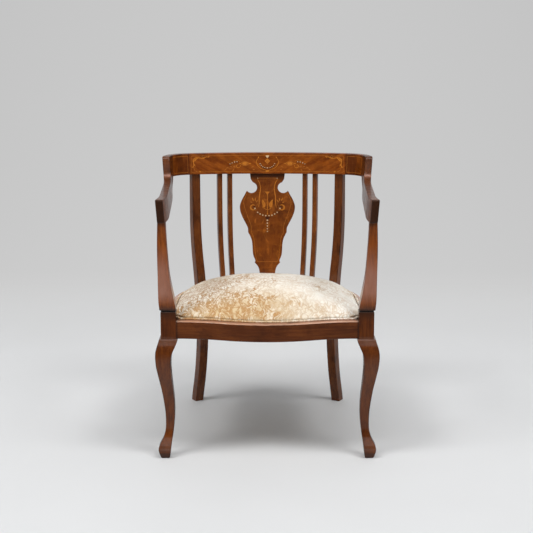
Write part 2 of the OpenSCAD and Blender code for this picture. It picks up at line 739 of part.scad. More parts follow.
// Cover: rings of the outline drawn in towards the crown, share of the outline then
// share of the crown's height; the notch round the block fades out as they rise
cover_shares = [
    [1, 0], [1.004, 0.06], [1, 0.13], [0.985, 0.19], [0.955, 0.25], [0.9, 0.335], [0.82, 0.445],
    [0.7, 0.59], [0.55, 0.75], [0.38, 0.88], [0.2, 0.97]
];
cover_bottom = seat_h + hessian_t + rest;
cover_h = crown - hessian_t - rest;
seat_mid = (bow_end - bow + back_y) / 2;
function lifted(path, s, z) = [for (q = path) [q[0] * s, seat_mid + (q[1] - seat_mid) * s, z]];
module cover_body() {
    edge = ring(piping_r + rest);
    round_edge = ring(piping_r + rest, false);
    n = len(edge);
    m = len(cover_shares);
    points = concat(
        [for (s = cover_shares) let (w = min(1, s[1] * 2.2))
            for (q = lifted(edge * (1 - w) + round_edge * w, s[0], cover_bottom + s[1] * cover_h)) q],
        [[0, seat_mid, cover_bottom + cover_h], [0, seat_mid, cover_bottom]]
    );
    faces = concat(
        [for (j = [0 : m - 2], i = [0 : n - 1])
            let (a = j * n + i, b = j * n + (i + 1) % n, c = (j + 1) * n + (i + 1) % n, d = (j + 1) * n + i)
            for (f = [[a, c, b], [a, d, c]]) f],
        [for (i = [0 : n - 1]) [(m - 1) * n + i, m * n, (m - 1) * n + (i + 1) % n]],
        [for (i = [0 : n - 1]) [i, (i + 1) % n, m * n + 1]]
    );
    polyhedron(points, faces);
}
pad_share = 0.88;
module pad_outline(g) {
    edge = ring(piping_r + rest);
    polygon([for (q = edge) [q[0] * pad_share + (q[0] > 0 ? g : -g),
        seat_mid + (q[1] - seat_mid) * pad_share + (q[1] > seat_mid ? g : -g)]]);
}

// Springs: hourglass coils of one unbroken wire
spring_turns = 4;
spring_steps = 8;
waist_share = 0.72;
spring_bottom = rail_bottom + rest;
spring_top = seat_h - rest;
function coil_point(t) = let (
    r = (spring_d - wire_d) / 2 * (1 - (1 - waist_share) * sin(180 * t)),
    a = 360 * spring_turns * t
) [r * cos(a), r * sin(a), spring_bottom + wire_d / 2 + t * (spring_top - spring_bottom - wire_d)];
module spring() {
    n = spring_turns * spring_steps;
    sides = 6;
    r = wire_d / 2;
    path = [for (i = [0 : n]) coil_point(i / n)];
    points = [
        for (i = [0 : n])
            let (t = unit(path[min(i + 1, n)] - path[max(i - 1, 0)]),
                m = unit([path[i][0], path[i][1], 0]), b = cross(t, m))
            for (k = [0 : sides - 1]) path[i] + m * r * cos(360 * k / sides) + b * r * sin(360 * k / sides)
    ];
    faces = concat(
        [for (i = [0 : n - 1], k = [0 : sides - 1])
            let (a = i * sides + k, b = i * sides + (k + 1) % sides,
                c = (i + 1) * sides + (k + 1) % sides, d = (i + 1) * sides + k)
            for (f = [[a, c, b], [a, d, c]]) f],
        [for (k = [1 : sides - 2]) [0, k, k + 1]],
        [for (k = [1 : sides - 2]) [n * sides, n * sides + k + 1, n * sides + k]]
    );
    polyhedron(points, faces);
}
echo(spring_gap = min([for (i = [0 : spring_steps * (spring_turns - 1)])
    norm(coil_point((i + spring_steps) / (spring_steps * spring_turns))
        - coil_point(i / (spring_steps * spring_turns)))]) - wire_d);

// Webbing: two sets of straps woven over and under each other below the rails
strap_gap = 0.2;
strap_lift = (strap_t + strap_gap) / 2;
strap_z = rail_bottom - strap_t / 2 - strap_lift;
well_half = side_out - side_t;
well_front = bow_end - bow + rail_t;
well_back = back_y - side_t / 2;
strap_span = post_sx - post_w - strap_w / 2;
function across(i) = strap_span * (2 * i + 1 - straps) / (straps - 1);
function along(j) = well_front + (well_back - well_front) * (j + 0.85) / (straps + 0.7);
strap_grip_share = 0.65;
// Distance of the tacks from the strap's ends; the strap lies flat for twice as far
tack_in = 7;
function side_inner(y) = (y < side_turn ? well_half
    : side_cx + sqrt(pow(side_r - side_t / 2, 2) - pow(y - side_turn, 2))) - (y - block_back) * tan(taper);
function strap_y0(x) = front_line(x, rail_t) - rail_t * strap_grip_share;
function strap_y1(x) = back_at(x, -side_t / 2) + side_t * strap_grip_share;
function strap_x1(y) = side_inner(y) + side_t * strap_grip_share;
// Centre line of a strap that passes over and under the others at places c
function woven(s0, s1, c, up) = let (
    flat = strap_w / 2 + strap_t,
    grip = 2 * tack_in
) concat(
    [[s0, strap_z + strap_lift], [s0 + grip, strap_z + strap_lift]],
    [for (i = [0 : len(c) - 1]) for (k = [-1, 1]) [c[i] + k * flat, strap_z + ((i + up) % 2 == 0 ? strap_lift : -strap_lift)]],
    [[s1 - grip, strap_z + strap_lift], [s1, strap_z + strap_lift]]
);
function strap_outline(p) = concat(
    [for (q = p) [q[0], q[1] - strap_t / 2]], flip([for (q = p) [q[0], q[1] + strap_t / 2]])
);
tack_r = 4;
tack_h = 1.2;
module tack(x, y) {
    translate([x, y, rail_bottom - strap_t - tack_h]) cylinder(tack_h, r1 = tack_r * 0.6, r2 = tack_r);
}

module front_leg_right() {
    color(mahogany) placed() front_leg();
}
module front_leg_left() {
    color(mahogany) placed() mirror([1, 0, 0]) front_leg();
}
module post_solid() {
    union() {
        back_post(0);
        post_tenon(0);
    }
}
module back_post_right() {
    color(mahogany) placed() post_solid();
}
module back_post_left() {
    color(mahogany) placed() mirror([1, 0, 0]) post_solid();
}
module front_seat_rail() {
    color(mahogany) placed() union() {
        front_rail_body();
        both_sides() tenon_front(0);
    }
}
module side_seat_rail_right() {
    color(mahogany) placed() side_rail();
}
module side_seat_rail_left() {
    color(mahogany) placed() mirror([1, 0, 0]) side_rail();
}
module back_seat_rail() {
    color(mahogany) placed() back_rail();
}
module corner_blocks() {
    color(beech) placed() both_sides() {
        corner_block_front();
        corner_block_back();
    }
}
module arm_support_right() {
    color(mahogany) placed() arm_support();
}
module arm_support_left() {
    color(mahogany) placed() mirror([1, 0, 0]) arm_support();
}
module support_dowels() {
    color(beech) placed() both_sides() support_dowel(0);
}
module arm_right() {
    color(mahogany) placed() arm();
}
module arm_left() {
    color(mahogany) placed() mirror([1, 0, 0]) arm();
}
module arm_dowels() {
    color(beech) placed() both_sides() {
        arm_dowel(0);
        arm_joint_dowels(0);
    }
}
module crest_return_right() {
    color(veneer) placed() crest_return();
}
module crest_return_left() {
    color(veneer) placed() mirror([1, 0, 0]) crest_return();
}
module crest_rail() {
    color(veneer) placed() crest();
}
module crest_dowels() {
    color(beech) placed() both_sides() crest_joint_dowels(0);
}
module splat() {
    color(veneer) placed() splat_body(0);
}
module stick_right_outer() {
    color(mahogany_dark) placed() stick(stick_outer_x, 0);
}
module stick_right_inner() {
    color(mahogany_dark) placed() stick(stick_inner_x, 0);
}
module stick_left_inner() {
    color(mahogany_dark) placed() mirror([1, 0, 0]) stick(stick_inner_x, 0);
}
module stick_left_outer() {
    color(mahogany_dark) placed() mirror([1, 0, 0]) stick(stick_outer_x, 0);
}
module webbing_lengthwise() {
    color(jute) placed() raked() for (i = [0 : straps - 1])
        translate([across(i), 0, 0]) side_cut(strap_w) polygon(strap_outline(
            woven(strap_y0(across(i)), strap_y1(across(i)), [for (j = [0 : straps - 1]) along(j)], i)
        ));
}
module webbing_crosswise() {
    color(jute) placed() raked() for (j = [0 : straps - 1])
        front_cut(along(j) - strap_w / 2, along(j) + strap_w / 2) polygon(strap_outline(
            woven(-strap_x1(along(j)), strap_x1(along(j)), [for (i = [0 : straps - 1]) across(i)], j + 1)
        ));
}
module webbing_tacks() {
    color(steel) placed() raked() for (i = [0 : straps - 1], k = [-1, 0, 1]) {
        tack(across(i) + k * strap_w / 3, strap_y0(across(i)) + tack_in);
        tack(across(i) + k * strap_w / 3, strap_y1(across(i)) - tack_in);
        tack(strap_x1(along(i)) - tack_in, along(i) + k * strap_w / 3);
        tack(tack_in - strap_x1(along(i)), along(i) + k * strap_w / 3);
    }
}
module seat_springs() {
    color(steel) placed() raked() for (i = [0 : straps - 1], j = [1 : straps - 2])
        translate([across(i), along(j), 0]) spring();
}
module seat_hessian() {
    color(jute) placed() raked() translate([0, 0, seat_h]) linear_extrude(hessian_t) polygon(ring(piping_r + rest));
}
module seat_stuffing() {
    color(jute) placed() raked() translate([0, 0, cover_bottom]) linear_extrude(pad_t) pad_outline(0);
}
module seat_cover() {
    color(velvet) placed() raked() difference() {
        cover_body();
        translate([0, 0, cover_bottom - over]) linear_extrude(pad_t + over + rest) pad_outline(rest);
    }
}
module seat_piping() {
    color(velvet) placed() raked() loop_tube(ring(0), piping_r, seat_h + piping_r + rest, 6);
}

front_leg_left();
front_leg_right();
back_post_left();
back_post_right();
front_seat_rail();
side_seat_rail_left();
side_seat_rail_right();
back_seat_rail();
corner_blocks();
arm_support_left();
arm_support_right();
support_dowels();
arm_left();
arm_right();
arm_dowels();
crest_return_left();
crest_return_right();
crest_rail();
crest_dowels();
splat();
stick_left_outer();
stick_left_inner();
stick_right_inner();
stick_right_outer();
webbing_lengthwise();
webbing_crosswise();
webbing_tacks();
seat_springs();
seat_hessian();
seat_stuffing();
seat_cover();
seat_piping();
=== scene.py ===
import math

import bmesh
import bpy
import numpy as np
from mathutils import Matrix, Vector, geometry, noise


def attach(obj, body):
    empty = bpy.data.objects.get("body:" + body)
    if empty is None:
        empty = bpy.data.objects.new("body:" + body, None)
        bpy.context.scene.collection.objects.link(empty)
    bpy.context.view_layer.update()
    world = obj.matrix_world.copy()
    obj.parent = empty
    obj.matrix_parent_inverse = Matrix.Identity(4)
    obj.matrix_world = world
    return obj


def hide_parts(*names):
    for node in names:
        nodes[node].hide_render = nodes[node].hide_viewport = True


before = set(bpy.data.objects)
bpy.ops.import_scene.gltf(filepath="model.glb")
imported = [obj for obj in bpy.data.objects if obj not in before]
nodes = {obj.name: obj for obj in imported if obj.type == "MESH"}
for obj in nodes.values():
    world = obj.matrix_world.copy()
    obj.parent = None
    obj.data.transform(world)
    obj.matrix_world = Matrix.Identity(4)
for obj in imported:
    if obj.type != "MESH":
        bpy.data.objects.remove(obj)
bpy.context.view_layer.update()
scene = bpy.context.scene

# Sizes in millimetres, as in the source
CHAIR_H, SEAT_H, FRONT_W = 757.0, 373.0, 560.0
CREST_H, BAND_T, CREST_R, CORNER_R, CREST_HALF, LEAN = 62.0, 20.5, 1040.0, 64.5, 229.0, math.radians(4.5)
ARM_H, ARM_DEPTH, SPLAY, FLARE_L, FLARE_R, ARM_REACH = 699.0, 61.5, math.radians(2.5), 100.0, 590.0, 15.0
SUPPORT_W, SUPPORT_D, SUPPORT_OUT, NECK_H, NECK_IN = 22.0, 38.0, 7.0, 4.0, 1.5
BLOCK_W, BLOCK_RISE = 40.5, 27.0
RAIL_H, RAIL_T, SIDE_T, RAKE, TAPER = 46.0, 34.0, 25.0, math.radians(1.9), math.radians(1.4)
BOW, RAIL_SET, FRAME_D, SIDE_SET, BACK_R = 42.0, 1.5, 518.0, 5.0, 950.0
POST_W, POST_D, POST_X, SWEEP, FAN = 26.5, 28.0, 215.0, 39.0, math.radians(30.0)
STICK_W, STICK_OUT_X, STICK_IN_X = 14.0, 142.5, 112.5
SPLAT_HALF, SPLAT_T = 82.5, 9.0
CROWN, SHOW_WOOD, SHOW_SIDE, PIPING_R, HESSIAN_T = 79.0, 21.0, 12.0, 3.0, 1.2
STRAP_W, STRAP_T, STRAPS, WIRE_D, SPRING_D = 50.0, 1.6, 4, 3.2, 70.0
POST_TOP, REST, NECK_TURN = 0.73, 0.3, math.radians(26.0)
# shares: foot before the block, crest rail and seat along the sweep, turn of the side rail, strap on its rail
FOOT_SHARE, CREST_SHARE, LEVEL_SHARE, TURN_SHARE, GRIP_SHARE = 0.22, 0.68, 0.82, 0.62, 0.65

CREST_BOTTOM = CHAIR_H - CREST_H
ARM_BOTTOM = ARM_H - ARM_DEPTH
RAIL_BOTTOM = SEAT_H - RAIL_H
BLOCK_TOP = SEAT_H + BLOCK_RISE
SUPPORT_BOTTOM = BLOCK_TOP + NECK_H
BLOCK_OUT = FRONT_W / 2
BLOCK_IN = BLOCK_OUT - BLOCK_W
BLOCK_FRONT = BLOCK_W * FOOT_SHARE
BLOCK_BACK = BLOCK_FRONT + BLOCK_W
ARM_FRONT = BLOCK_FRONT - ARM_REACH
BOW_END = BLOCK_FRONT + RAIL_SET
BOW_HALF = BLOCK_IN / 2
BOW_R = (BOW_HALF ** 2 + BOW * BOW / 4) / BOW
BOW_CY, BOW_EY = BOW_END - BOW + BOW_R, BOW_END - BOW_R
BACK_Y = BLOCK_FRONT + FRAME_D
BACK_CY = BACK_Y - BACK_R
SLOPE = math.tan(LEAN)
BAND_H = BAND_T / math.cos(LEAN)
CREST_CY = BACK_Y + CREST_SHARE * SWEEP - BAND_H / 2 - CREST_R
JOINT_A = math.asin(CREST_HALF / CREST_R)
CORNER_X = (CREST_R - CORNER_R) * math.sin(JOINT_A)
CORNER_Y = CREST_CY + (CREST_R - CORNER_R) * math.cos(JOINT_A)
ARM_X = CORNER_X + CORNER_R * math.cos(SPLAY)
ARM_Y = CORNER_Y - CORNER_R * math.sin(SPLAY)
ARM_L = ARM_Y - ARM_FRONT
NECK_Y = CORNER_Y + CORNER_R * math.sin(NECK_TURN - SPLAY)
ARM_RUN = NECK_Y - ARM_FRONT
BOX_FRONT = BOW_END - BOW
BOX_BACK = CREST_CY + CREST_R + BAND_H + CREST_H * SLOPE
MID_Y = (BOX_FRONT + BOX_BACK) / 2


def smooth(p, n):
    """Catmull-Rom curve through the points p, with n steps between each two."""
    p = [np.array(q, float) for q in p]
    out = []
    for i in range(len(p) - 1):
        a, b, c, d = p[max(i - 1, 0)], p[i], p[i + 1], p[min(i + 2, len(p) - 1)]
        for k in range(n):
            t = k / n
            out.append(0.5 * (2 * b + (c - a) * t + (2 * a - 5 * b + 4 * c - d) * t * t
                              + (3 * b - a - 3 * c + d) * t ** 3))
    out.append(p[-1])
    return np.array(out)


def front_line(x, d):
    """Front line of the front rail at x, or the line d behind it."""
    u = abs(x)
    if u <= BOW_HALF * (BOW_R - d) / BOW_R:
        return BOW_CY - math.sqrt((BOW_R - d) ** 2 - u * u)
    return BOW_EY + math.sqrt((BOW_R + d) ** 2 - (u - BLOCK_IN) ** 2)


def on_crest(x):
    """Depth of the middle of the crest rail at x."""
    return CREST_CY + math.sqrt((CREST_R + BAND_H / 2) ** 2 - x * x)


UPRIGHT = [
    [0, -0.05], [0.039, -0.2], [0.1, -0.487], [0.163, -0.72], [0.237, -0.91], [0.288, -0.987],
    [0.345, -1], [0.417, -0.945], [0.506, -0.775], [0.583, -0.55], [0.647, -0.32], [0.72, -0.13],
    [0.79, -0.03], [0.863, 0], [1, 0]]
UPRIGHT_LINE = smooth([[s[1] * SWEEP, s[0] * CREST_BOTTOM] for s in UPRIGHT], 8)


def at_height(line, z):
    """Where a line of points (place, height) stands at height z."""
    return float(np.interp(z, line[:, 1], line[:, 0]))


def curve(z):
    """How far posts, sticks and splat sweep forward at height z."""
    return at_height(UPRIGHT_LINE, z)


POST_Y = on_crest(POST_X)
POST_SX = POST_X - math.sin(FAN) * SWEEP * LEVEL_SHARE
POST_SY = POST_Y - math.cos(FAN) * SWEEP * LEVEL_SHARE
SIDE_OUT = BLOCK_OUT - SIDE_SET
SIDE_MID = SIDE_OUT - SIDE_T / 2
SIDE_TURN = BLOCK_FRONT + FRAME_D * TURN_SHARE


def to_side(p):
    """From the chair's plan to that of the side rail before it is turned in; from_side goes back."""
    x, y = p[0] - SIDE_OUT, p[1] - BLOCK_BACK
    return (SIDE_OUT + x * math.cos(TAPER) + y * math.sin(TAPER),
            BLOCK_BACK - x * math.sin(TAPER) + y * math.cos(TAPER))


def from_side(p):
    x, y = p[0] - SIDE_OUT, p[1] - BLOCK_BACK
    return (SIDE_OUT + x * math.cos(TAPER) - y * math.sin(TAPER),
            BLOCK_BACK + x * math.sin(TAPER) + y * math.cos(TAPER))


post_plan = to_side((POST_SX, POST_SY))
post_dx, post_dy = SIDE_MID - post_plan[0], post_plan[1] - SIDE_TURN
SIDE_R = (post_dx * post_dx + post_dy * post_dy) / (2 * post_dx)
SIDE_CX = SIDE_MID - SIDE_R
BACK_SEAT_H = SEAT_H - (POST_SY - BLOCK_BACK) * math.tan(RAKE)


def raked(p):
    """Turned back about the front of the seat by the seat's slope."""
    p = np.array(p, float).reshape(-1, 3)
    c, s = math.cos(RAKE), math.sin(RAKE)
    y, z = p[:, 1] - BLOCK_BACK, p[:, 2] - SEAT_H
    return np.stack([p[:, 0], BLOCK_BACK + y * c + z * s, SEAT_H - y * s + z * c], 1)


def metres(p):
    """From the source's millimetres to the frame's metres."""
    return (np.array(p, float).reshape(-1, 3) - np.array([0, MID_Y, 0])) * 0.001


# Mesh helpers
CORNER_STEPS = 3
ARRIS = [0.0, 1.0, 1.0, 0.0] * 4


def unit(v):
    v = np.array(v, float)
    return v / max(np.linalg.norm(v), 1e-12)


def unit_rows(v):
    return v / np.maximum(np.linalg.norm(v, axis=1, keepdims=True), 1e-9)


def run(p):
    """Distance along the points p, from the first to each."""
    return np.concatenate([[0], np.cumsum(np.linalg.norm(np.diff(np.array(p), axis=0), axis=1))])


def round_ring(corners, r):
    """Rounds a planar ring of corners to radius r (one number, or one per corner)."""
    out = []
    n = len(corners)
    rs = [r] * n if np.isscalar(r) else r
    for i in range(n):
        c = np.array(corners[i], float)
        a = c + unit(np.array(corners[i - 1]) - c) * rs[i]
        b = c + unit(np.array(corners[(i + 1) % n]) - c) * rs[i]
        for j in range(CORNER_STEPS + 1):
            t = j / CORNER_STEPS
            q = (1 - t) ** 2, 2 * t * (1 - t) * 0.707, t * t
            out.append((q[0] * a + q[1] * c + q[2] * b) / sum(q))
    return out


def square_ring(x0, x1, y0, y1, z, r):
    return round_ring([(x0, y0, z), (x1, y0, z), (x1, y1, z), (x0, y1, z)], r)


def loft_faces(m, n, closed=False, caps=False):
    faces = [(i * n + j, i * n + (j + 1) % n, ((i + 1) % m) * n + (j + 1) % n, ((i + 1) % m) * n + j)
             for i in range(m if closed else m - 1) for j in range(n)]
    if caps:
        faces += [tuple(range(n))[::-1], tuple((m - 1) * n + j for j in range(n))]
    return faces


def add_piece(name, me, material, stands_for=()):
    me.materials.append(material)
    ob = bpy.data.objects.new(name, me)
    scene.collection.objects.link(ob)
    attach(ob, "root")
    if stands_for:
        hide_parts(*stands_for)
    return ob


def finish_mesh(name, bm, material, stands_for=(), sharp=38.0, weighted=True):
    bmesh.ops.recalc_face_normals(bm, faces=bm.faces)
    for f in bm.faces:
        f.smooth = True
    for e in bm.edges:
        if len(e.link_faces) != 2 or e.calc_face_angle(0) > math.radians(sharp):
            e.smooth = False
    me = bpy.data.meshes.new(name)
    bm.to_mesh(me)
    bm.free()
    ob = add_piece(name, me, material, stands_for)
    if weighted:
        ob.modifiers.new("normals", "WEIGHTED_NORMAL").keep_sharp = True
    return ob


def plain_mesh(name, points, faces, material, stands_for, smooth_it=True, cloth=None):
    """A piece from points in metres, with the coordinates of its weave where it has one."""
    me = bpy.data.meshes.new(name)
    me.from_pydata([tuple(p) for p in points], [], faces)
    if smooth_it:
        me.polygons.foreach_set("use_smooth", [True] * len(me.polygons))
    if cloth is not None:
        weave = me.attributes.new("cloth", "FLOAT_VECTOR", "POINT")
        weave.data.foreach_set("vector", np.array(cloth, np.float32).ravel())
    me.update()
    return add_piece(name, me, material, stands_for)


def loft(name, part, material, seed, stands_for=(), mirror=False):
    """One object through the part's rings of points, in mm. The part may also give the grain of each point
    in metres, the edge mark of each point of a ring, and for each ring the end darkening (end: end grain,
    painted shade and plain darkening, by piece) and the painted sheen (painted_sheen)."""
    bm = bmesh.new()
    grain = bm.verts.layers.float_vector.new("grain")
    edge_mark, end, painted_sheen = (bm.verts.layers.float.new(key) for key in ("edge_mark", "end", "painted_sheen"))
    rings = np.array(part["rings"], float)
    if mirror:
        rings[:, :, 0] *= -1
    m, n = rings.shape[:2]
    flat = metres(rings)
    if "grain" in part:
        g = np.array(part["grain"], float).reshape(-1, 3) + np.array([seed * 0.37, seed * 0.19, 0])
    else:
        g = flat[:, (2, 0, 1)] + np.array([(seed * 0.371) % 1.7, (seed * 0.193) % 1.3, (seed * 0.577) % 1.1])
    vs = []
    for i, p in enumerate(flat):
        v = bm.verts.new(p)
        v[grain] = Vector(g[i])
        v[edge_mark] = part["edge_mark"][i % n] if "edge_mark" in part else 0.0
        v[end] = part["end"][i // n] if "end" in part else 0.0
        v[painted_sheen] = part["painted_sheen"][i // n] if "painted_sheen" in part else 0.0
        vs.append(v)
    for f in loft_faces(m, n, caps=True):
        bm.faces.new([vs[i] for i in f])
    bmesh.ops.remove_doubles(bm, verts=bm.verts, dist=1e-7)
    return finish_mesh(name, bm, material, stands_for)


def pair(name, part, material, seed, node=None):
    """The right piece and its mirror image; {} in the names is the side."""
    for side, flipped in (("right", False), ("left", True)):
        loft(name.format(side), part, material, seed + flipped, [node.format(side)] if node else (), flipped)


# Materials
class Mat:
    """A material whose Principled shader p is fed by nodes."""
    def __init__(self, name):
        self.m = bpy.data.materials.new(name)
        self.m.use_nodes = True
        self.t = self.m.node_tree
        self.t.nodes.clear()
        self.out = self.t.nodes.new("ShaderNodeOutputMaterial")
        self.p = self.t.nodes.new("ShaderNodeBsdfPrincipled")
        self.t.links.new(self.p.outputs[0], self.out.inputs[0])

    def put(self, socket, value):
        if isinstance(value, bpy.types.NodeSocket):
            self.t.links.new(value, socket)
        else:
            socket.default_value = value

    def done(self, **sockets):
        for key, value in sockets.items():
            self.put(self.p.inputs[key.replace("_", " ")], value)
        return self.m

    def node(self, kind, props=None, **ins):
        """A node with its inputs by name, or by number as i0, i1 and so on."""
        n = self.t.nodes.new("ShaderNode" + kind)
        for key, v in (props or {}).items():
            setattr(n, key, v)
        for key, v in ins.items():
            self.put(n.inputs[int(key[1:]) if key[1:].isdigit() else key.replace("_", " ")], v)
        return n

    def coords(self, attribute=None):
        if attribute:
            return self.node("Attribute", {"attribute_name": attribute}).outputs["Vector"]
        return self.node("TexCoord").outputs["Object"]

    def amount(self, attribute):
        return self.node("Attribute", {"attribute_name": attribute}).outputs["Fac"]

    def xyz(self, vec):
        return self.node("SeparateXYZ", None, Vector=vec).outputs

    def vector(self, op, a, b, **more):
        return self.node("VectorMath", {"operation": op}, i0=a, i1=b, **more).outputs[0]

    def noise(self, vec, scale, detail=3.0, rough=0.55, distortion=0.0, out="Fac"):
        """Noise at one scale, or at one for each axis."""
        if isinstance(scale, tuple):
            vec, scale = self.vector("MULTIPLY", vec, scale), 1.0
        return self.node("TexNoise", None, Vector=vec, Scale=scale, Detail=detail, Roughness=rough,
                         Distortion=distortion).outputs[out]

    def warp(self, vec, scale, reach):
        """The coordinates pushed about by a slow noise."""
        push = self.vector("SUBTRACT", self.noise(vec, scale, 2.0, 0.5, out="Color"), (0.5, 0.5, 0.5))
        return self.vector("MULTIPLY_ADD", push, reach, i2=vec)

    def ramp(self, fac, stops):
        n = self.node("ValToRGB", None, Fac=fac)
        e = n.color_ramp.elements
        while len(e) < len(stops):
            e.new(0.5)
        for x, (pos, col) in zip(e, stops):
            x.position = pos
            x.color = (*col, 1.0)
        return n.outputs["Color"]

    def values(self, fac, stops):
        return self.ramp(fac, [(p, (v, v, v)) for p, v in stops])

    def mix(self, fac, a, b, mode="MIX"):
        n = self.t.nodes.new("ShaderNodeMix")
        n.data_type = "RGBA"
        n.blend_type = mode
        for k, v in ((0, fac), (6, a), (7, b)):
            self.put(n.inputs[k], (*v, 1.0) if isinstance(v, tuple) else v)
        return n.outputs[2]

    def math(self, op, a, b=0.0):
        return self.node("Math", {"operation": op}, i0=a, i1=b).outputs[0]

    def mul(self, a, b):
        return self.math("MULTIPLY", a, b)

    def add(self, a, b):
        return self.math("ADD", a, b)

    def sub(self, a, b):
        return self.math("SUBTRACT", a, b)

    def bump(self, height, distance, strength=1.0, normal=None):
        n = self.node("Bump", None, Height=height, Distance=distance, Strength=strength)
        if normal is not None:
            self.put(n.inputs["Normal"], normal)
        return n.outputs["Normal"]


def times(colour, k):
    return tuple(min(1.0, k * c) for c in colour)


def wood(name, dark, mid, light, attribute="grain", rough=(0.3, 0.46), coat=0.7, coat_rough=0.09, figure=0.0,
         flame=0.0, book=0.0, tone=0.25, patches=0.0, edge_col=None, edge_mark=0.55, edge_threshold=0.42, end_grain_and_shade_col=None,
         painted_sheen_col=None):
    """Polished wood, its grain along the first axis of the attribute. figure is cross bars, flame plumes,
    book stripes mirrored about the middle, and patches burnt clouds. The edge colour goes where the attribute
    edge_mark is (darker rounded edges, and on the rails a painted highlight). The painted sheen colour goes
    where painted_sheen is, standing in for light reflected by the polish. The end colour goes where end is
    (end grain, and on some pieces painted shade). edge_threshold is how little noise lets the edge colour
    show."""
    m = Mat(name)
    g = m.coords(attribute)
    bent = m.warp(g, (3.0, 9.0, 9.0), (0.02 + 0.1 * flame, 0.012 + 0.05 * flame, 0.012 + 0.05 * flame))
    streak = m.noise(bent, (7.0, 190.0, 190.0), 5.0, 0.62)
    col = m.ramp(streak, [(0.3, dark), (0.5, mid), (0.72, light)])
    fine = m.noise(bent, (26.0, 900.0, 900.0), 3.0, 0.6)
    col = m.mix(0.35, col, m.ramp(fine, [(0.35, dark), (0.6, light)]))
    broad = m.noise(g, (7.0, 16.0, 16.0), 4.0, 0.6)
    col = m.mix(tone, col, m.ramp(broad, [(0.32, times(dark, 0.45)), (0.5, mid), (0.68, times(light, 1.25))]))
    if figure:
        bars = m.noise(bent, (85.0, 14.0, 14.0), 3.0, 0.5, 0.4)
        col = m.mix(figure, col, m.ramp(bars, [(0.36, times(mid, 0.6)), (0.52, mid),
                                               (0.64, times(light, 1.35))]))
    if flame:
        plume = m.noise(bent, (18.0, 30.0, 30.0), 4.0, 0.6, 1.6)
        col = m.mix(flame, col, m.ramp(plume, [(0.3, dark), (0.46, mid), (0.56, times(mid, 0.75)),
                                               (0.7, times(light, 1.2))]))
    if book:
        place = m.xyz(m.coords())
        far = m.math("ABSOLUTE", place[0])
        across = m.sub(m.mul(place[2], 0.86), m.mul(far, 0.5))
        along = m.add(m.mul(far, 0.86), m.mul(place[2], 0.5))
        leaf = m.node("CombineXYZ", None, X=m.mul(along, 11.0), Y=m.mul(across, 85.0), Z=0.7).outputs[0]
        stripe = m.noise(leaf, 1.0, 4.0, 0.6, 0.5)
        col = m.mix(book, col, m.ramp(stripe, [(0.34, times(dark, 0.55)), (0.45, mid), (0.55, light),
                                               (0.66, times(light, 1.2))]))
    if patches:
        burnt = m.values(m.noise(bent, (24.0, 34.0, 34.0), 3.0, 0.6), [(0.36, 1.0), (0.5, 0.0)])
        col = m.mix(m.mul(burnt, patches), col, times(dark, 0.6))
    pores = m.values(m.noise(g, (90.0, 2200.0, 2200.0), 2.0, 0.5), [(0.3, 0.0), (0.4, 1.0)])
    col = m.mix(0.45, col, m.mix(1.0, col, pores, "MULTIPLY"))
    # on the rails a painted highlight along the top outer edge, elsewhere darker rounded edges
    if edge_col:
        patch = m.values(m.noise(g, (22.0, 60.0, 60.0)), [(edge_threshold, 0.0), (edge_threshold + 0.2, 1.0)])
        col = m.mix(m.mul(m.mul(m.amount("edge_mark"), patch), edge_mark), col, edge_col)
    # painted sheen: a lighter, greyer colour standing in for light reflected by the polish
    if painted_sheen_col:
        sheen_spread = m.values(m.noise(g, (9.0, 40.0, 40.0), 4.0), [(0.3, 0.35), (0.65, 0.8)])
        col = m.mix(m.mul(m.amount("painted_sheen"), sheen_spread), col, painted_sheen_col)
    # end grain, and on some pieces painted shade, with flecks
    if end_grain_and_shade_col:
        speck = m.values(m.noise(m.coords(), (1500.0, 300.0, 1500.0)), [(0.35, 0.0), (0.65, 1.0)])
        col = m.mix(m.mul(m.amount("end"), 0.85), col, m.mix(speck, times(end_grain_and_shade_col, 0.5), times(end_grain_and_shade_col, 1.5)))
    dull = m.noise(g, (30.0, 60.0, 60.0), 4.0, 0.65)
    return m.done(Base_Color=col, Roughness=m.values(dull, [(0.3, rough[0]), (0.7, rough[1])]),
                  Normal=m.bump(m.add(m.mul(pores, 0.6), m.mul(fine, 0.4)), 0.00012, 0.5),
                  Coat_Weight=coat, Coat_Roughness=coat_rough, IOR=1.48, Specular_IOR_Level=0.12)


def inlay_wood(name, colour, edge):
    m = Mat(name)
    g = m.coords()
    n = m.noise(g, (900.0, 900.0, 260.0))
    col = m.ramp(n, [(0.3, edge), (0.55, colour), (0.8, times(colour, 1.15))])
    slow = m.noise(g, (70.0, 70.0, 70.0), 2.0)
    return m.done(Base_Color=m.mix(m.values(slow, [(0.35, 0.35), (0.6, 0.0)]), col, edge),
                  Roughness=m.values(n, [(0.3, 0.36), (0.7, 0.44)]), Normal=m.bump(n, 0.00006, 0.5),
                  Coat_Weight=0.25, Coat_Roughness=0.09, Specular_IOR_Level=0.15)


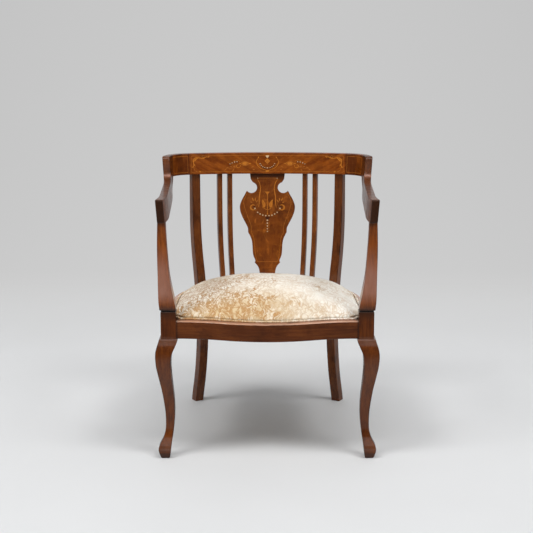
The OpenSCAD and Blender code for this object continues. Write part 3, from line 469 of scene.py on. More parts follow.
def velvet_mat(name):
    """Crushed velvet: wavy upright strokes of laid pile, fewer and paler to the right; paler to the right and
    on the crown is painted light.
    """
    m = Mat(name)
    g = m.coords()
    bent = m.warp(g, (26.0, 20.0, 26.0), (0.034, 0.034, 0.034))
    worm = m.noise(bent, (96.0, 40.0, 58.0), 2.0, 0.5, 0.6)
    small = m.noise(bent, (170.0, 90.0, 130.0), 3.0, 0.55, 0.5)
    stroke = m.values(worm, [(0.4, 0.0), (0.47, 1.0), (0.52, 1.0), (0.6, 0.0)])
    laid = m.math("MAXIMUM", stroke, m.mul(m.values(small, [(0.5, 0.0), (0.64, 1.0)]), 0.6))
    x, _, z = m.xyz(g)
    # how much of the pile is laid over: left and low the most; on the left this also paints in shade
    drift = m.noise(bent, (9.0, 9.0, 14.0), 3.0, 0.6)
    amount = m.add(m.add(m.mul(drift, 1.9), m.mul(x, -1.35)), m.mul(m.sub(0.415, z), 4.0))
    amount = m.values(amount, [(0.45, 0.04), (0.95, 0.62), (1.25, 1.0)])
    # the ground between the strokes: pale at the right (painted light from that side, together with the lie of
    # the nap), a painted highlight on the crown, and small lit patches
    pale = m.ramp(m.add(m.mul(x, 1.4), 0.5), [(0.15, (0.72, 0.54, 0.31)), (0.5, (0.67, 0.515, 0.325)),
                                              (0.75, (0.95, 0.9, 0.81))])
    # painted highlight: paler towards white high on the dome and out towards its sides
    rise = m.add(z, m.mul(m.mul(x, x), 0.95))
    top = m.values(m.mul(m.sub(rise, 0.411), 20.0), [(0.1, 0.0), (0.65, 1.0)])
    pale = m.mix(m.mul(top, 0.9), pale, (1.0, 0.955, 0.87))
    lit = m.values(m.noise(bent, (60.0, 30.0, 42.0), 3.0, 0.6, 0.6), [(0.53, 0.0), (0.62, 0.45)])
    pale = m.mix(lit, pale, (0.96, 0.91, 0.82))
    col = m.mix(m.mul(laid, amount), pale, (0.47, 0.265, 0.105))
    dusk = m.values(m.noise(bent, (16.0, 12.0, 20.0), 3.0, 0.6), [(0.5, 0.0), (0.66, 0.4)])
    col = m.mix(m.mul(dusk, amount), col, (0.5, 0.36, 0.22))
    pile = m.noise(g, (1900.0, 1900.0, 1900.0), 2.0)
    col = m.mix(0.14, col, m.ramp(pile, [(0.3, (0.5, 0.36, 0.22)), (0.7, (0.95, 0.9, 0.8))]), "OVERLAY")
    folds = m.bump(small, 0.0012, 0.5, m.bump(laid, 0.0012, 0.6))
    return m.done(Base_Color=col, Roughness=m.values(laid, [(0.2, 0.55), (0.9, 0.75)]),
                  Normal=m.bump(pile, 0.0003, 0.4, folds), Sheen_Weight=0.6, Sheen_Roughness=0.3,
                  Sheen_Tint=(1.0, 0.97, 0.9, 1.0), Specular_IOR_Level=0.3)


def jute_mat(name, base, dark, stripe=None, pitch=620.0):
    """Plain weave seen on an attribute "cloth" (across, along, up) in metres."""
    m = Mat(name)
    g = m.coords("cloth")
    u, v, _ = m.xyz(g)
    weave = m.mul(m.math("SINE", m.mul(u, pitch * 2)), m.math("SINE", m.mul(v, pitch * 2)))
    weave = m.add(m.mul(weave, 0.5), 0.5)
    slub = m.noise(g, (420.0, 40.0, 40.0), 4.0)
    slub2 = m.noise(g, (40.0, 420.0, 40.0), 4.0)
    col = m.ramp(m.add(m.mul(weave, 0.45), m.mul(slub, 0.55)),
                 [(0.2, dark), (0.6, base), (0.85, times(base, 1.35))])
    col = m.mix(0.35, col, m.ramp(slub2, [(0.35, dark), (0.65, base)]))
    if stripe:
        band = m.math("ABSOLUTE", m.sub(m.math("ABSOLUTE", u), 0.0175))
        col = m.mix(m.values(band, [(0.0015, 0.8), (0.0022, 0.0)]), col, stripe)
    dirt = m.noise(m.coords(), (12.0, 12.0, 12.0), 4.0)
    col = m.mix(m.values(dirt, [(0.45, 0.0), (0.75, 0.45)]), col, times(dark, 0.5))
    return m.done(Base_Color=col, Roughness=0.9, Normal=m.bump(m.add(weave, slub), 0.0006, 0.8),
                  Specular_IOR_Level=0.2)


def metal_mat(name, base, dark, rough):
    m = Mat(name)
    g = m.coords()
    n = m.noise(g, (260.0, 260.0, 260.0), 5.0, 0.6)
    rust = m.values(m.noise(g, (45.0, 45.0, 45.0), 4.0), [(0.52, 0.0), (0.68, 1.0)])
    col = m.mix(m.mul(rust, 0.7), m.ramp(n, [(0.3, dark), (0.6, base)]), (0.16, 0.07, 0.03))
    return m.done(Base_Color=col, Metallic=m.values(rust, [(0.0, 0.95), (1.0, 0.45)]),
                  Roughness=m.values(n, [(0.3, rough), (0.7, rough + 0.2)]), Normal=m.bump(n, 0.0001, 0.6))


# EDGE_DARK darkens the rounded edges; END_GRAIN_AND_SHADE is the end grain's colour, also used to paint shade
# under the crest rail
EDGE_DARK, END_GRAIN_AND_SHADE = (0.022, 0.008, 0.0035), (0.03, 0.011, 0.005)
SOLID = dict(edge_col=EDGE_DARK, edge_mark=0.8, end_grain_and_shade_col=END_GRAIN_AND_SHADE)
VENEER = dict(edge_col=EDGE_DARK, rough=(0.26, 0.4), coat=0.5, tone=0.35)
# painted_sheen_col is a lighter, greyer colour painted where the polish would reflect light
MAHOGANY = wood("mahogany_polished", (0.041, 0.0078, 0.001), (0.103, 0.022, 0.002), (0.195, 0.05, 0.006),
                painted_sheen_col=(0.17, 0.085, 0.058), patches=0.3, **SOLID)
POST_WOOD = wood("mahogany_posts", (0.045, 0.0105, 0.0025), (0.125, 0.032, 0.006), (0.24, 0.073, 0.014),
                 patches=0.5, **SOLID)
# the rails' edge colour is a painted highlight along the top outer edge, over the shadow of the cushion's
# roll; their end colour is painted shade in the joints
RAIL_WOOD = wood("mahogany_rails", (0.042, 0.0085, 0.0018), (0.1, 0.023, 0.0035), (0.185, 0.052, 0.009),
                 coat=0.9, patches=0.35, edge_col=(0.52, 0.27, 0.17), edge_mark=1.0, edge_threshold=0.24,
                 end_grain_and_shade_col=(0.012, 0.004, 0.002))
ARM_WOOD = wood("mahogany_arms", (0.037, 0.0085, 0.0022), (0.094, 0.0235, 0.0045), (0.18, 0.053, 0.011),
                painted_sheen_col=(0.36, 0.15, 0.09), patches=0.3, coat=0.4, coat_rough=0.17, **SOLID)
SUPPORT_WOOD = wood("mahogany_supports", (0.07, 0.014, 0.0018), (0.2, 0.045, 0.0045), (0.38, 0.1, 0.013),
                    painted_sheen_col=(0.33, 0.165, 0.12), edge_col=EDGE_DARK, edge_mark=0.8, end_grain_and_shade_col=(0.02, 0.007, 0.003))
STICK_WOOD = wood("mahogany_sticks", (0.06, 0.0135, 0.003), (0.165, 0.043, 0.007), (0.3, 0.09, 0.016),
                  patches=0.4, **SOLID)
EBONY = wood("ebonised_neck", (0.006, 0.004, 0.003), (0.012, 0.008, 0.006), (0.022, 0.014, 0.01),
             rough=(0.35, 0.5))
FLAME = wood("mahogany_flame_veneer", (0.085, 0.016, 0.0015), (0.21, 0.044, 0.003), (0.37, 0.1, 0.009),
             figure=0.2, flame=0.35, book=0.38, patches=0.25, edge_mark=0.6, **VENEER)
SPLAT_VENEER = wood("mahogany_splat_veneer", (0.075, 0.016, 0.0025), (0.2, 0.048, 0.005),
                    (0.36, 0.105, 0.012), figure=0.3, flame=0.55, patches=0.38, edge_mark=0.7, end_grain_and_shade_col=END_GRAIN_AND_SHADE,
                    **VENEER)
RETURN_VENEER = wood("mahogany_return_veneer", (0.05, 0.01, 0.0015), (0.125, 0.027, 0.003),
                     (0.24, 0.062, 0.007), figure=0.5, flame=0.2, patches=0.4, edge_mark=0.7, **VENEER)
BEECH = wood("beech_block", (0.3, 0.17, 0.08), (0.42, 0.26, 0.13), (0.55, 0.37, 0.21), attribute=None,
             rough=(0.6, 0.75), coat=0.0, tone=0.3)
SATIN = inlay_wood("inlay_satinwood", (0.55, 0.19, 0.018), (0.36, 0.1, 0.01))
SATIN_SOFT = inlay_wood("inlay_stringing", (0.44, 0.145, 0.018), (0.3, 0.085, 0.012))
BOX = inlay_wood("inlay_boxwood", (0.72, 0.52, 0.31), (0.5, 0.3, 0.14))
DARK = inlay_wood("inlay_stained", (0.05, 0.015, 0.006), (0.09, 0.03, 0.012))
VELVET = velvet_mat("crushed_velvet")
WEBBING = jute_mat("jute_webbing", (0.36, 0.26, 0.14), (0.17, 0.11, 0.055), stripe=(0.2, 0.07, 0.04))
HESSIAN = jute_mat("hessian", (0.3, 0.21, 0.11), (0.12, 0.08, 0.04), pitch=900.0)
STEEL = metal_mat("spring_steel", (0.42, 0.41, 0.4), (0.18, 0.17, 0.16), 0.35)
TACK = metal_mat("blued_tack", (0.16, 0.16, 0.18), (0.06, 0.06, 0.07), 0.3)

# Front legs. Their outlines are given as (height, place), both shares.
LEG_OUT = [
    [1, 0.115], [0.976, 0.165], [0.947, 0.25], [0.905, 0.34], [0.86, 0.37], [0.785, 0.33],
    [0.714, 0.228], [0.644, 0.115], [0.573, 0], [0.502, -0.09], [0.432, -0.165], [0.364, -0.212],
    [0.3, -0.228], [0.23, -0.2], [0.17, -0.07], [0.137, 0.07], [0.109, 0.19], [0.078, 0.25],
    [0.041, 0.2], [0, 0.085]]
LEG_IN = [
    [1, -0.1], [0.976, -0.045], [0.947, 0.055], [0.917, 0.17], [0.885, 0.28], [0.852, 0.33],
    [0.785, 0.36], [0.714, 0.343], [0.644, 0.298], [0.573, 0.245], [0.502, 0.198], [0.432, 0.17],
    [0.364, 0.172], [0.295, 0.207], [0.228, 0.267], [0.166, 0.338], [0.109, 0.41], [0.041, 0.475],
    [0, 0.53]]
LEG_SIDES = [smooth([[(s[1] - inner) * BLOCK_W, s[0] * RAIL_BOTTOM] for s in table], 6)[::-1]
             for table, inner in ((LEG_OUT, 0), (LEG_IN, 1))]
# the block: height, how far it is eased inwards, and the radius of its corners
BLOCK_RINGS = [
    (RAIL_BOTTOM + 0.05, 0.0, 1.2), (RAIL_BOTTOM + 8, 0, 1.2), (SEAT_H, 0, 1.2), (BLOCK_TOP - 1.1, 0, 1.2),
    (BLOCK_TOP - 0.6, 0.2, 1.2), (BLOCK_TOP - 0.2, 0.6, 1.0), (BLOCK_TOP, 1.1, 1.0)]


def leg_rings():
    rings = []
    for z in np.concatenate([[0.0, 0.6, 2.0], np.linspace(5, RAIL_BOTTOM - 3, 74),
                             [RAIL_BOTTOM - 1.2, RAIL_BOTTOM]]):
        o, i = (at_height(side, z) for side in LEG_SIDES)
        e = {0.0: 1.4, 0.6: 0.6, RAIL_BOTTOM: 1.0}.get(z, 0.0)
        rings.append(square_ring(BLOCK_OUT + i + e, BLOCK_OUT + o - e, BLOCK_FRONT - o + e,
                                 BLOCK_FRONT - i - e, z, 2.6 if z < RAIL_BOTTOM - 6 else 1.6))
    return rings + [block_ring(e, z, r) for z, e, r in BLOCK_RINGS]


def block_ring(e, z, r):
    return square_ring(BLOCK_IN + e, BLOCK_OUT - e, BLOCK_FRONT + e, BLOCK_BACK - e, z, r)


def levels(rings, base=0.0, height=1.0):
    """Mean height of each ring above the base, as a share of that height."""
    return [(float(np.mean([p[2] for p in ring])) - base) / height for ring in rings]


# LEG_DARK_ENDS darkens the bottom of the foot and the block's top next to the neck; LEG_PAINTED_SHEEN paints
# sheen on the foot's top, along the middle of the leg and on the knee's ledge
LEG_DARK_ENDS = [(0, 0.75), (13, 0.75), (18, 0), (BLOCK_TOP - 7, 0), (BLOCK_TOP - 3.5, 0.75), (BLOCK_TOP, 1)]
LEG_PAINTED_SHEEN = [(18, 0), (26, 0.6), (38, 0.35), (60, 0), (150, 0.1), (220, 0.3), (262, 0.15), (290, 0),
             (RAIL_BOTTOM - 14, 0), (RAIL_BOTTOM - 7, 0.8), (RAIL_BOTTOM, 0.9), (RAIL_BOTTOM + 1, 0)]
leg = leg_rings()
pair("front_leg_wood_{}", {
    "rings": leg, "edge_mark": ARRIS, "end": np.interp(levels(leg), *zip(*LEG_DARK_ENDS)),
    "painted_sheen": np.interp(levels(leg), *zip(*LEG_PAINTED_SHEEN))}, MAHOGANY, 3, "front_leg_{}")
pair("leg_neck_ebonised_{}", {"rings": [block_ring(NECK_IN, z, 0.8) for z in (
    BLOCK_TOP - 0.4, BLOCK_TOP + NECK_H / 2, SUPPORT_BOTTOM)]}, EBONY, 5)

# Arm supports, in the same way
SUP_OUT = [[0, 0.4], [0.05, 0.5], [0.1, 0.66], [0.2, 0.77], [0.37, 0.87], [0.55, 1], [0.75, 1.01], [1, 0.75]]
SUP_IN = [[0, 1], [0.04, 0.97], [0.12, 0.82], [0.21, 0.65], [0.3, 0.5], [0.39, 0.37], [0.5, 0.27],
          [0.62, 0.19], [0.8, 0.08], [1, 0]]
SUP_FRONT = [[0, 0], [0.06, -0.3], [0.13, -0.22], [0.3, 0.25], [0.5, 0.75], [0.72, 1], [1, 0.8]]
SUP_BACK = [[0, 0], [0.08, 0.1], [0.2, 0.05], [0.4, -0.3], [0.6, -0.3], [0.8, 0], [1, 0.45]]
SUP_H, SUP_WAVE = ARM_BOTTOM - SUPPORT_BOTTOM, 11.0
SUP_TOP_IN = BLOCK_OUT + SUPPORT_OUT - SUPPORT_W


def support_side(table, start, reach, taper=0.0):
    return smooth([[start - taper * s[0] + reach * s[1], SUPPORT_BOTTOM + s[0] * SUP_H] for s in table], 8)


def support_rings():
    sides = (support_side(SUP_IN, SUP_TOP_IN, BLOCK_IN - SUP_TOP_IN),
             support_side(SUP_OUT, BLOCK_OUT, SUPPORT_OUT), support_side(SUP_FRONT, BLOCK_FRONT, SUP_WAVE),
             support_side(SUP_BACK, BLOCK_BACK, SUP_WAVE, BLOCK_W - SUPPORT_D))
    rings = []
    for z in np.concatenate([[SUPPORT_BOTTOM, SUPPORT_BOTTOM + 0.7, SUPPORT_BOTTOM + 2.2],
                             np.linspace(SUPPORT_BOTTOM + 5, ARM_BOTTOM, 52)]):
        e = {SUPPORT_BOTTOM: 1.2, SUPPORT_BOTTOM + 0.7: 0.4}.get(z, 0.0)
        at = [at_height(side, z) for side in sides]
        rings.append(square_ring(at[0] + e, at[1] - e, at[2] + e, at[3] - e, z, 2.2))
    return rings


support = support_rings()
support_levels = levels(support, SUPPORT_BOTTOM, SUP_H)
# darker at the foot next to the ebonised neck, painted shadow under the arm at the top, and a painted sheen
# from near the foot to above the middle
pair("arm_support_wood_{}", {
    "rings": support, "edge_mark": ARRIS,
    "end": np.interp(support_levels, [0, 0.012, 0.03, 0.09, 0.94, 1], [1, 0.9, 0.45, 0, 0, 0.9]),
    "painted_sheen": np.interp(support_levels, [0.04, 0.12, 0.2, 0.45, 0.6, 0.75], [0, 0.5, 1, 0.9, 0.4, 0])},
     SUPPORT_WOOD, 7, "arm_support_{}")


# Back posts and sticks
def upright(x, w, d0, d1, z0, r, steps):
    """A post or stick of width w at x, d0 deep up to the seat and d1 deep at the top, with painted
    shade under the crest rail."""
    a = FAN * x / POST_X
    u, v = np.array([math.sin(a), math.cos(a), 0]), np.array([math.cos(a), -math.sin(a), 0])
    zs = np.linspace(z0, CREST_BOTTOM + 1, steps)
    rings = []
    for z in zs:
        d = d0 + (d1 - d0) * max(0.0, z - SEAT_H) / (CREST_BOTTOM - SEAT_H)
        c = np.array([x, on_crest(x), z]) + u * curve(min(z, CREST_BOTTOM))
        rings.append(round_ring([c + v * j * w / 2 + u * k * d / 2
                                 for j, k in ((-1, -1), (1, -1), (1, 1), (-1, 1))], r))
    return {"rings": rings, "edge_mark": ARRIS,
            "end": np.interp(zs, [CREST_BOTTOM - 22, CREST_BOTTOM - 2], [0, 0.85])}


pair("back_post_wood_{}", upright(POST_X, POST_W, POST_D, POST_D * POST_TOP, 0, 2.4, 80), POST_WOOD, 11,
     "back_post_{}")
for which, x in (("outer", STICK_OUT_X), ("inner", STICK_IN_X)):
    pair("stick_wood_{}_" + which, upright(x, STICK_W, STICK_W, STICK_W, BACK_SEAT_H - 2, 1.3, 40),
         STICK_WOOD, 17 + x * 0.1, "stick_{}_" + which)

# Seat rails
EDGE = 1.8


def along_grain(distances, depth, height, r):
    """Grain, in metres, of the rings at those distances (in mm) along a bar of that section."""
    section = round_ring([(0, 0), (depth, 0), (depth, height), (0, height)], r)
    return 0.001 * np.array([[(s, *q) for q in section] for s in distances])


def rail_part(outer, inner):
    """A rail between the lines of its outer and inner faces, with a painted highlight along its top outer edge
    and painted shade at its ends.
    """
    rings = [raked(round_ring([(*o, RAIL_BOTTOM), (*i, RAIL_BOTTOM), (*i, SEAT_H), (*o, SEAT_H)], EDGE))
             for o, i in zip(outer, inner)]
    depth = np.linalg.norm(np.array(outer[0]) - np.array(inner[0]))
    # the ends get painted shade where they meet the blocks, and the top outer edge a painted highlight
    return {"rings": rings, "grain": along_grain(run(outer), depth, RAIL_H, EDGE),
            "end": [0.95] + [0.0] * (len(rings) - 2) + [0.95], "edge_mark": [0.0] * 9 + [1.0] * 6 + [0.0]}


def past_post(p, k):
    """How far p lies past the post's outer (k = 1) or inner (k = -1) side face."""
    return (p[0] - POST_SX) * math.cos(FAN) - (p[1] - POST_SY) * math.sin(FAN) - k * POST_W / 2


def side_at(r, a):
    return from_side((SIDE_CX + r * math.cos(a), SIDE_TURN + r * math.sin(a)))


def back_at(r, a):
    return r * math.sin(a), BACK_CY + r * math.cos(a)


def bisect(f, a, b):
    """Where f changes sign between a and b."""
    above = f(a) > 0
    for _ in range(50):
        m = (a + b) / 2
        if (f(m) > 0) == above:
            a = m
        else:
            b = m
    return (a + b) / 2


side_lines, back_lines = [], []
for out in (SIDE_T / 2, -SIDE_T / 2):
    end = bisect(lambda a: past_post(side_at(SIDE_R + out, a), 1), 0.0, 1.2)
    side_lines.append([from_side((SIDE_MID + out, y)) for y in np.linspace(BLOCK_BACK, SIDE_TURN, 10)[:-1]]
                      + [side_at(SIDE_R + out, a) for a in np.linspace(0, end, 26)])
    end = bisect(lambda a: past_post(back_at(BACK_R + out, a), -1), 0.0, 0.4)
    back_lines.append([back_at(BACK_R + out, a) for a in np.linspace(-end, end, 41)])
front_lines = [[(x, front_line(x, d)) for x in np.linspace(-BLOCK_IN, BLOCK_IN, 81)] for d in (0, RAIL_T)]
loft("front_rail_wood", rail_part(*front_lines), RAIL_WOOD, 23, ["front_seat_rail"])
pair("side_rail_wood_{}", rail_part(*side_lines), RAIL_WOOD, 29, "side_seat_rail_{}")
loft("back_rail_wood", rail_part(*back_lines), RAIL_WOOD, 31, ["back_seat_rail"])

# Crest rail and returns
BAND_EDGE = 1.9
RETURN_END = math.pi / 2 + SPLAY - NECK_TURN


def band_ring(cx, cy, r, a):
    """Leaning section of the band at angle a (from +Y towards +X) round (cx, cy)."""
    d, lean = np.array([math.sin(a), math.cos(a), 0]), SLOPE * CREST_H
    return round_ring([np.array([cx, cy, z]) + d * (r + out) for out, z in (
        (0, CREST_BOTTOM), (BAND_H, CREST_BOTTOM), (BAND_H + lean, CHAIR_H), (lean, CHAIR_H))], BAND_EDGE)


def band_part(cx, cy, r, a0, a1, steps):
    angles = np.linspace(a0, a1, steps)
    return {"rings": [band_ring(cx, cy, r, a) for a in angles], "edge_mark": ARRIS,
            "grain": along_grain((angles - a0) * (r + 5), BAND_T, CREST_H, BAND_EDGE)}


loft("crest_rail_veneered", band_part(0, CREST_CY, CREST_R, -JOINT_A, JOINT_A, 97), FLAME, 37, ["crest_rail"])
pair("crest_return_veneered_{}", band_part(CORNER_X, CORNER_Y, CORNER_R, JOINT_A, RETURN_END, 41),
     RETURN_VENEER, 41, "crest_return_{}")

# Arms. Their side outline is given as (run, drop), both shares.
NECK_TOP = [[-0.06, 0], [0, 0], [0.045, 0], [0.064, 0.06], [0.08, 0.328], [0.0965, 0.69], [0.115, 0.94],
            [0.142, 1.078], [0.189, 1.138], [0.281, 1.155], [0.435, 1.12], [0.64, 1.07], [0.846, 1.02],
            [0.95, 1.002], [0.99, 1]]
NECK_LOW = [[-0.06, 0], [0, 0], [0.0144, 0.243], [0.035, 0.522], [0.0595, 0.783], [0.0965, 0.939],
            [0.148, 1.009], [0.23, 1.03], [0.435, 1.026], [0.64, 1.009], [0.75, 1], [0.8, 1], [0.84, 1],
            [0.95, 1]]
NECK_TOP_LINE, NECK_LOW_LINE = smooth(NECK_TOP, 10), smooth(NECK_LOW, 10)


def drop_at(line, y):
    return max(0.0, float(np.interp((NECK_Y - y) / ARM_RUN, line[:, 0], line[:, 1])))


def arm_top(y):
    return CHAIR_H - (CHAIR_H - ARM_H) * drop_at(NECK_TOP_LINE, y)


def arm_low(y):
    return CREST_BOTTOM - (CREST_BOTTOM - ARM_BOTTOM) * drop_at(NECK_LOW_LINE, y)


def arm_point(px, py, z):
    """From the plan of the unturned arm to the chair: it leans out by LEAN and is turned by SPLAY."""
    h = (z - CREST_BOTTOM + px * math.sin(LEAN)) / math.cos(LEAN)
    x = px * math.cos(LEAN) + h * math.sin(LEAN)
    return np.array([ARM_X + x * math.cos(SPLAY) + py * math.sin(SPLAY),
                     ARM_Y + py * math.cos(SPLAY) - x * math.sin(SPLAY), z])


def arm_station(t):
    """Plan points (x, y) on the inner and the outer face at distance t forward of the joint."""
    straight = ARM_L - FLARE_L
    if t <= straight:
        return (0.0, -t), (BAND_T, -t)
    a = (t - straight) / (FLARE_R - BAND_T / 2)
    return tuple((FLARE_R - r * math.cos(a), -straight - r * math.sin(a))
                 for r in (FLARE_R, FLARE_R - BAND_T))


def corner_point(a, out, z):
    """On the corner's inner or outer face at angle a from +X, turned by the splay."""
    r = CORNER_R + out * BAND_H + SLOPE * (z - CREST_BOTTOM)
    return np.array([CORNER_X + r * math.cos(a - SPLAY), CORNER_Y + r * math.sin(a - SPLAY), z])


def cut_at(point, height):
    """The point on an upright line of a face where the side outline meets it."""
    z = CHAIR_H - 60
    for _ in range(12):
        z = 0.5 * z + 0.5 * height(point(z)[1])
    return point(z)


def arm_part():
    rings, grain = [], []
    nose = ARM_DEPTH * 0.08
    rounding = [2.2, 2.2, 2.6, 2.6]

    def add(corners, at):
        rings.append(round_ring(corners, rounding))
        grain.append([(at, p[0] * 0.001, p[2] * 0.001) for p in rings[-1]])

    def section(inner, outer, at):
        add([cut_at(inner, arm_low), cut_at(outer, arm_low), cut_at(outer, arm_top), cut_at(inner, arm_top)],
            at * 0.001)

    for a in np.linspace(NECK_TURN, 0, 20)[:-1]:
        section(lambda z: corner_point(a, 0, z), lambda z: corner_point(a, 1, z), -a * (CORNER_R + 10))
    for t in np.concatenate([np.linspace(0, 0.2 * ARM_L, 60), np.linspace(0.2 * ARM_L, ARM_L, 56)[1:]]):
        inner, outer = arm_station(t)
        if min(arm_point(*inner, ARM_H)[1], arm_point(*outer, ARM_H)[1]) < ARM_FRONT + nose + 0.5:
            break
        section(lambda z: arm_point(*inner, z), lambda z: arm_point(*outer, z), t)
    # the end, rounded over
    for e in (0.0, 0.35, 0.7, 1.0):
        inset = nose * (1 - math.sqrt(1 - e * e))
        y = ARM_FRONT + nose * (1 - e)
        q = []
        for face, z in ((0, ARM_BOTTOM + inset), (1, ARM_BOTTOM + inset), (1, ARM_H - inset),
                        (0, ARM_H - inset)):
            t = bisect(lambda t: arm_point(*arm_station(t)[face], z)[1] - y, 0.0, ARM_L + 40)
            q.append(arm_point(*arm_station(t)[face], z))
        low, high = (q[0] + q[1]) / 2, (q[2] + q[3]) / 2
        add([p + unit(mid - p) * 0.9 * e * e for p, mid in zip(q, (low, low, high, high))],
            ARM_L * 0.001 + e * 0.004)
    # painted sheen where the swan neck turns into the arm's top; the rounded end is darker end grain
    tops = [(max(p[2] for p in ring) - ARM_H) / (CHAIR_H - ARM_H) for ring in rings]
    return {"rings": rings, "grain": grain, "edge_mark": ARRIS, "end": [0.0] * (len(rings) - 3) + [0.3, 1.0, 1.0],
            "painted_sheen": np.interp(tops, [-0.02, 0.0, 0.03, 0.06, 0.12, 0.2, 0.3], [0, 0.15, 0.3, 1, 1, 0.15, 0])}


pair("arm_wood_{}", arm_part(), ARM_WOOD, 43, "arm_{}")

# Splat. Its outline is given as (height, place), both shares.
SPLAT_FOOT = [[0.06, 0.28], [0.084, 0.286], [0.118, 0.314], [0.141, 0.36], [0.158, 0.417], [0.171, 0.465]]
SPLAT_WAIST = [[0.171, 0.455], [0.192, 0.443], [0.227, 0.5], [0.265, 0.532], [0.339, 0.549], [0.38, 0.575],
               [0.413, 0.624], [0.447, 0.695]]
SPLAT_VASE = [[0.447, 0.7], [0.488, 0.71], [0.512, 0.747], [0.544, 0.81], [0.581, 0.885], [0.619, 0.948],
              [0.655, 0.988], [0.694, 0.998], [0.73, 0.962], [0.768, 0.895], [0.794, 0.835], [0.831, 0.761]]
SPLAT_HEAD = [[0.919, 0.527], [0.931, 0.565], [0.95, 0.606], [1, 0.63]]
BITE, BITE_R, BITE_FROM, BITE_TO = [0.867, 0.575], 16.5, math.radians(-38), math.radians(-256.8)
SPLAT_Y, SPLAT_EASE = on_crest(0), 0.8


def splat_point(share):
    return np.array([share[1] * SPLAT_HALF, SEAT_H + share[0] * (CREST_BOTTOM - SEAT_H)])


def splat_outline():
    """The right half, from the foot up, without points that all but coincide."""
    right = [np.array([SPLAT_FOOT[0][1] * SPLAT_HALF, BACK_SEAT_H - 1])]
    for table in (SPLAT_FOOT, SPLAT_WAIST, SPLAT_VASE):
        right += list(smooth([splat_point(s) for s in table], 5))
    right += [splat_point(BITE) + BITE_R * np.array([math.cos(a), math.sin(a)])
              for a in np.linspace(BITE_FROM, BITE_TO, 34)]
    right += [splat_point(s) for s in SPLAT_HEAD]
    right.append(np.array([SPLAT_HEAD[-1][1] * SPLAT_HALF, CREST_BOTTOM + 1]))
    clean = [right[0]]
    for p in right[1:]:
        if np.linalg.norm(p - clean[-1]) > 0.25:
            clean.append(p)
    return clean


def make_splat():
    """Both faces slightly drawn in from the outline, so that the edge is eased all round."""
    right = splat_outline()
    p = np.array(right + [q * [-1, 1] for q in right[::-1]])
    n, t = len(p), SPLAT_T / 2
    d = unit_rows(p - np.roll(p, 1, 0)) + unit_rows(np.roll(p, -1, 0) - p)
    inward = unit_rows(np.stack([-d[:, 1], d[:, 0]], 1))
    bm = bmesh.new()
    rings = [[bm.verts.new((x, y, z)) for x, z in p + inward * e] for e, y in (
        (SPLAT_EASE, -t), (0.25, -t + 0.2), (0.0, -t + 0.8), (0.0, t - 0.8), (0.25, t - 0.2),
        (SPLAT_EASE, t))]
    for r0, r1 in zip(rings[:-1], rings[1:]):
        for i in range(n):
            bm.faces.new((r0[i], r0[(i + 1) % n], r1[(i + 1) % n], r1[i]))
    for a, b, c in geometry.tessellate_polygon([[Vector((*q, 0)) for q in p + inward * SPLAT_EASE]]):
        if (p[b][0] - p[a][0]) * (p[c][1] - p[a][1]) - (p[b][1] - p[a][1]) * (p[c][0] - p[a][0]) <= 0:
            b, c = c, b
        bm.faces.new((rings[0][a], rings[0][b], rings[0][c]))
        bm.faces.new((rings[-1][c], rings[-1][b], rings[-1][a]))
    for z in np.arange(BACK_SEAT_H + 4, CREST_BOTTOM, 7.0):
        bmesh.ops.bisect_plane(bm, geom=bm.verts[:] + bm.edges[:] + bm.faces[:], plane_co=(0, 0, z),
                               plane_no=(0, 0, 1))
    grain = bm.verts.layers.float_vector.new("grain")
    edge_mark, end = (bm.verts.layers.float.new(key) for key in ("edge_mark", "end"))
    for v in bm.verts:
        x, y, z = v.co
        # painted shade under the crest rail, darkening the top of the splat
        v[end] = float(np.interp(z, [CREST_BOTTOM - 22, CREST_BOTTOM - 13, CREST_BOTTOM - 4], [0, 0.7, 1]))
        v[grain] = Vector((z * 0.001 + 0.3, x * 0.001, y * 0.001))
        v[edge_mark] = 1.0 if abs(y) < t - 0.1 else 0.0
        v.co = Vector(metres([(x, SPLAT_Y + curve(z) + y, z)])[0])
    finish_mesh("splat_veneered", bm, SPLAT_VENEER, ["splat"], sharp=50)


make_splat()

# Inlay: flat shapes laid on the splat and the band
LIFT, HIGHER = 0.06, 0.11
RIBBON_STEP, LEAF_STEPS = 2.5, 8
LINE_TOP, LINE_LOW = 749.6, 702.4
JOINT_S = CREST_HALF * JOINT_A / math.sin(JOINT_A)


def on_splat(x, z, lift=LIFT):
    return np.array([x, SPLAT_Y + curve(z) - SPLAT_T / 2 - lift, z])


def higher_on_splat(x, z):
    return on_splat(x, z, HIGHER)


def on_band(s, z, lift=LIFT):
    """At distance s from the middle of the crest rail, along its inner face."""
    a, r = s / CREST_R, CREST_R + SLOPE * (z - CREST_BOTTOM) - lift
    return np.array([r * math.sin(a), CREST_CY + r * math.cos(a), z])


def higher_on_band(s, z):
    return on_band(s, z, HIGHER)


def on_return(s, z, side):
    """At distance s from the crest rail's joint along the inner face of the right (1) or left (-1) return."""
    a, r = JOINT_A + s / CORNER_R, CORNER_R + SLOPE * (z - CREST_BOTTOM) - LIFT
    return np.array([(CORNER_X + r * math.sin(a)) * side, CORNER_Y + r * math.cos(a), z])


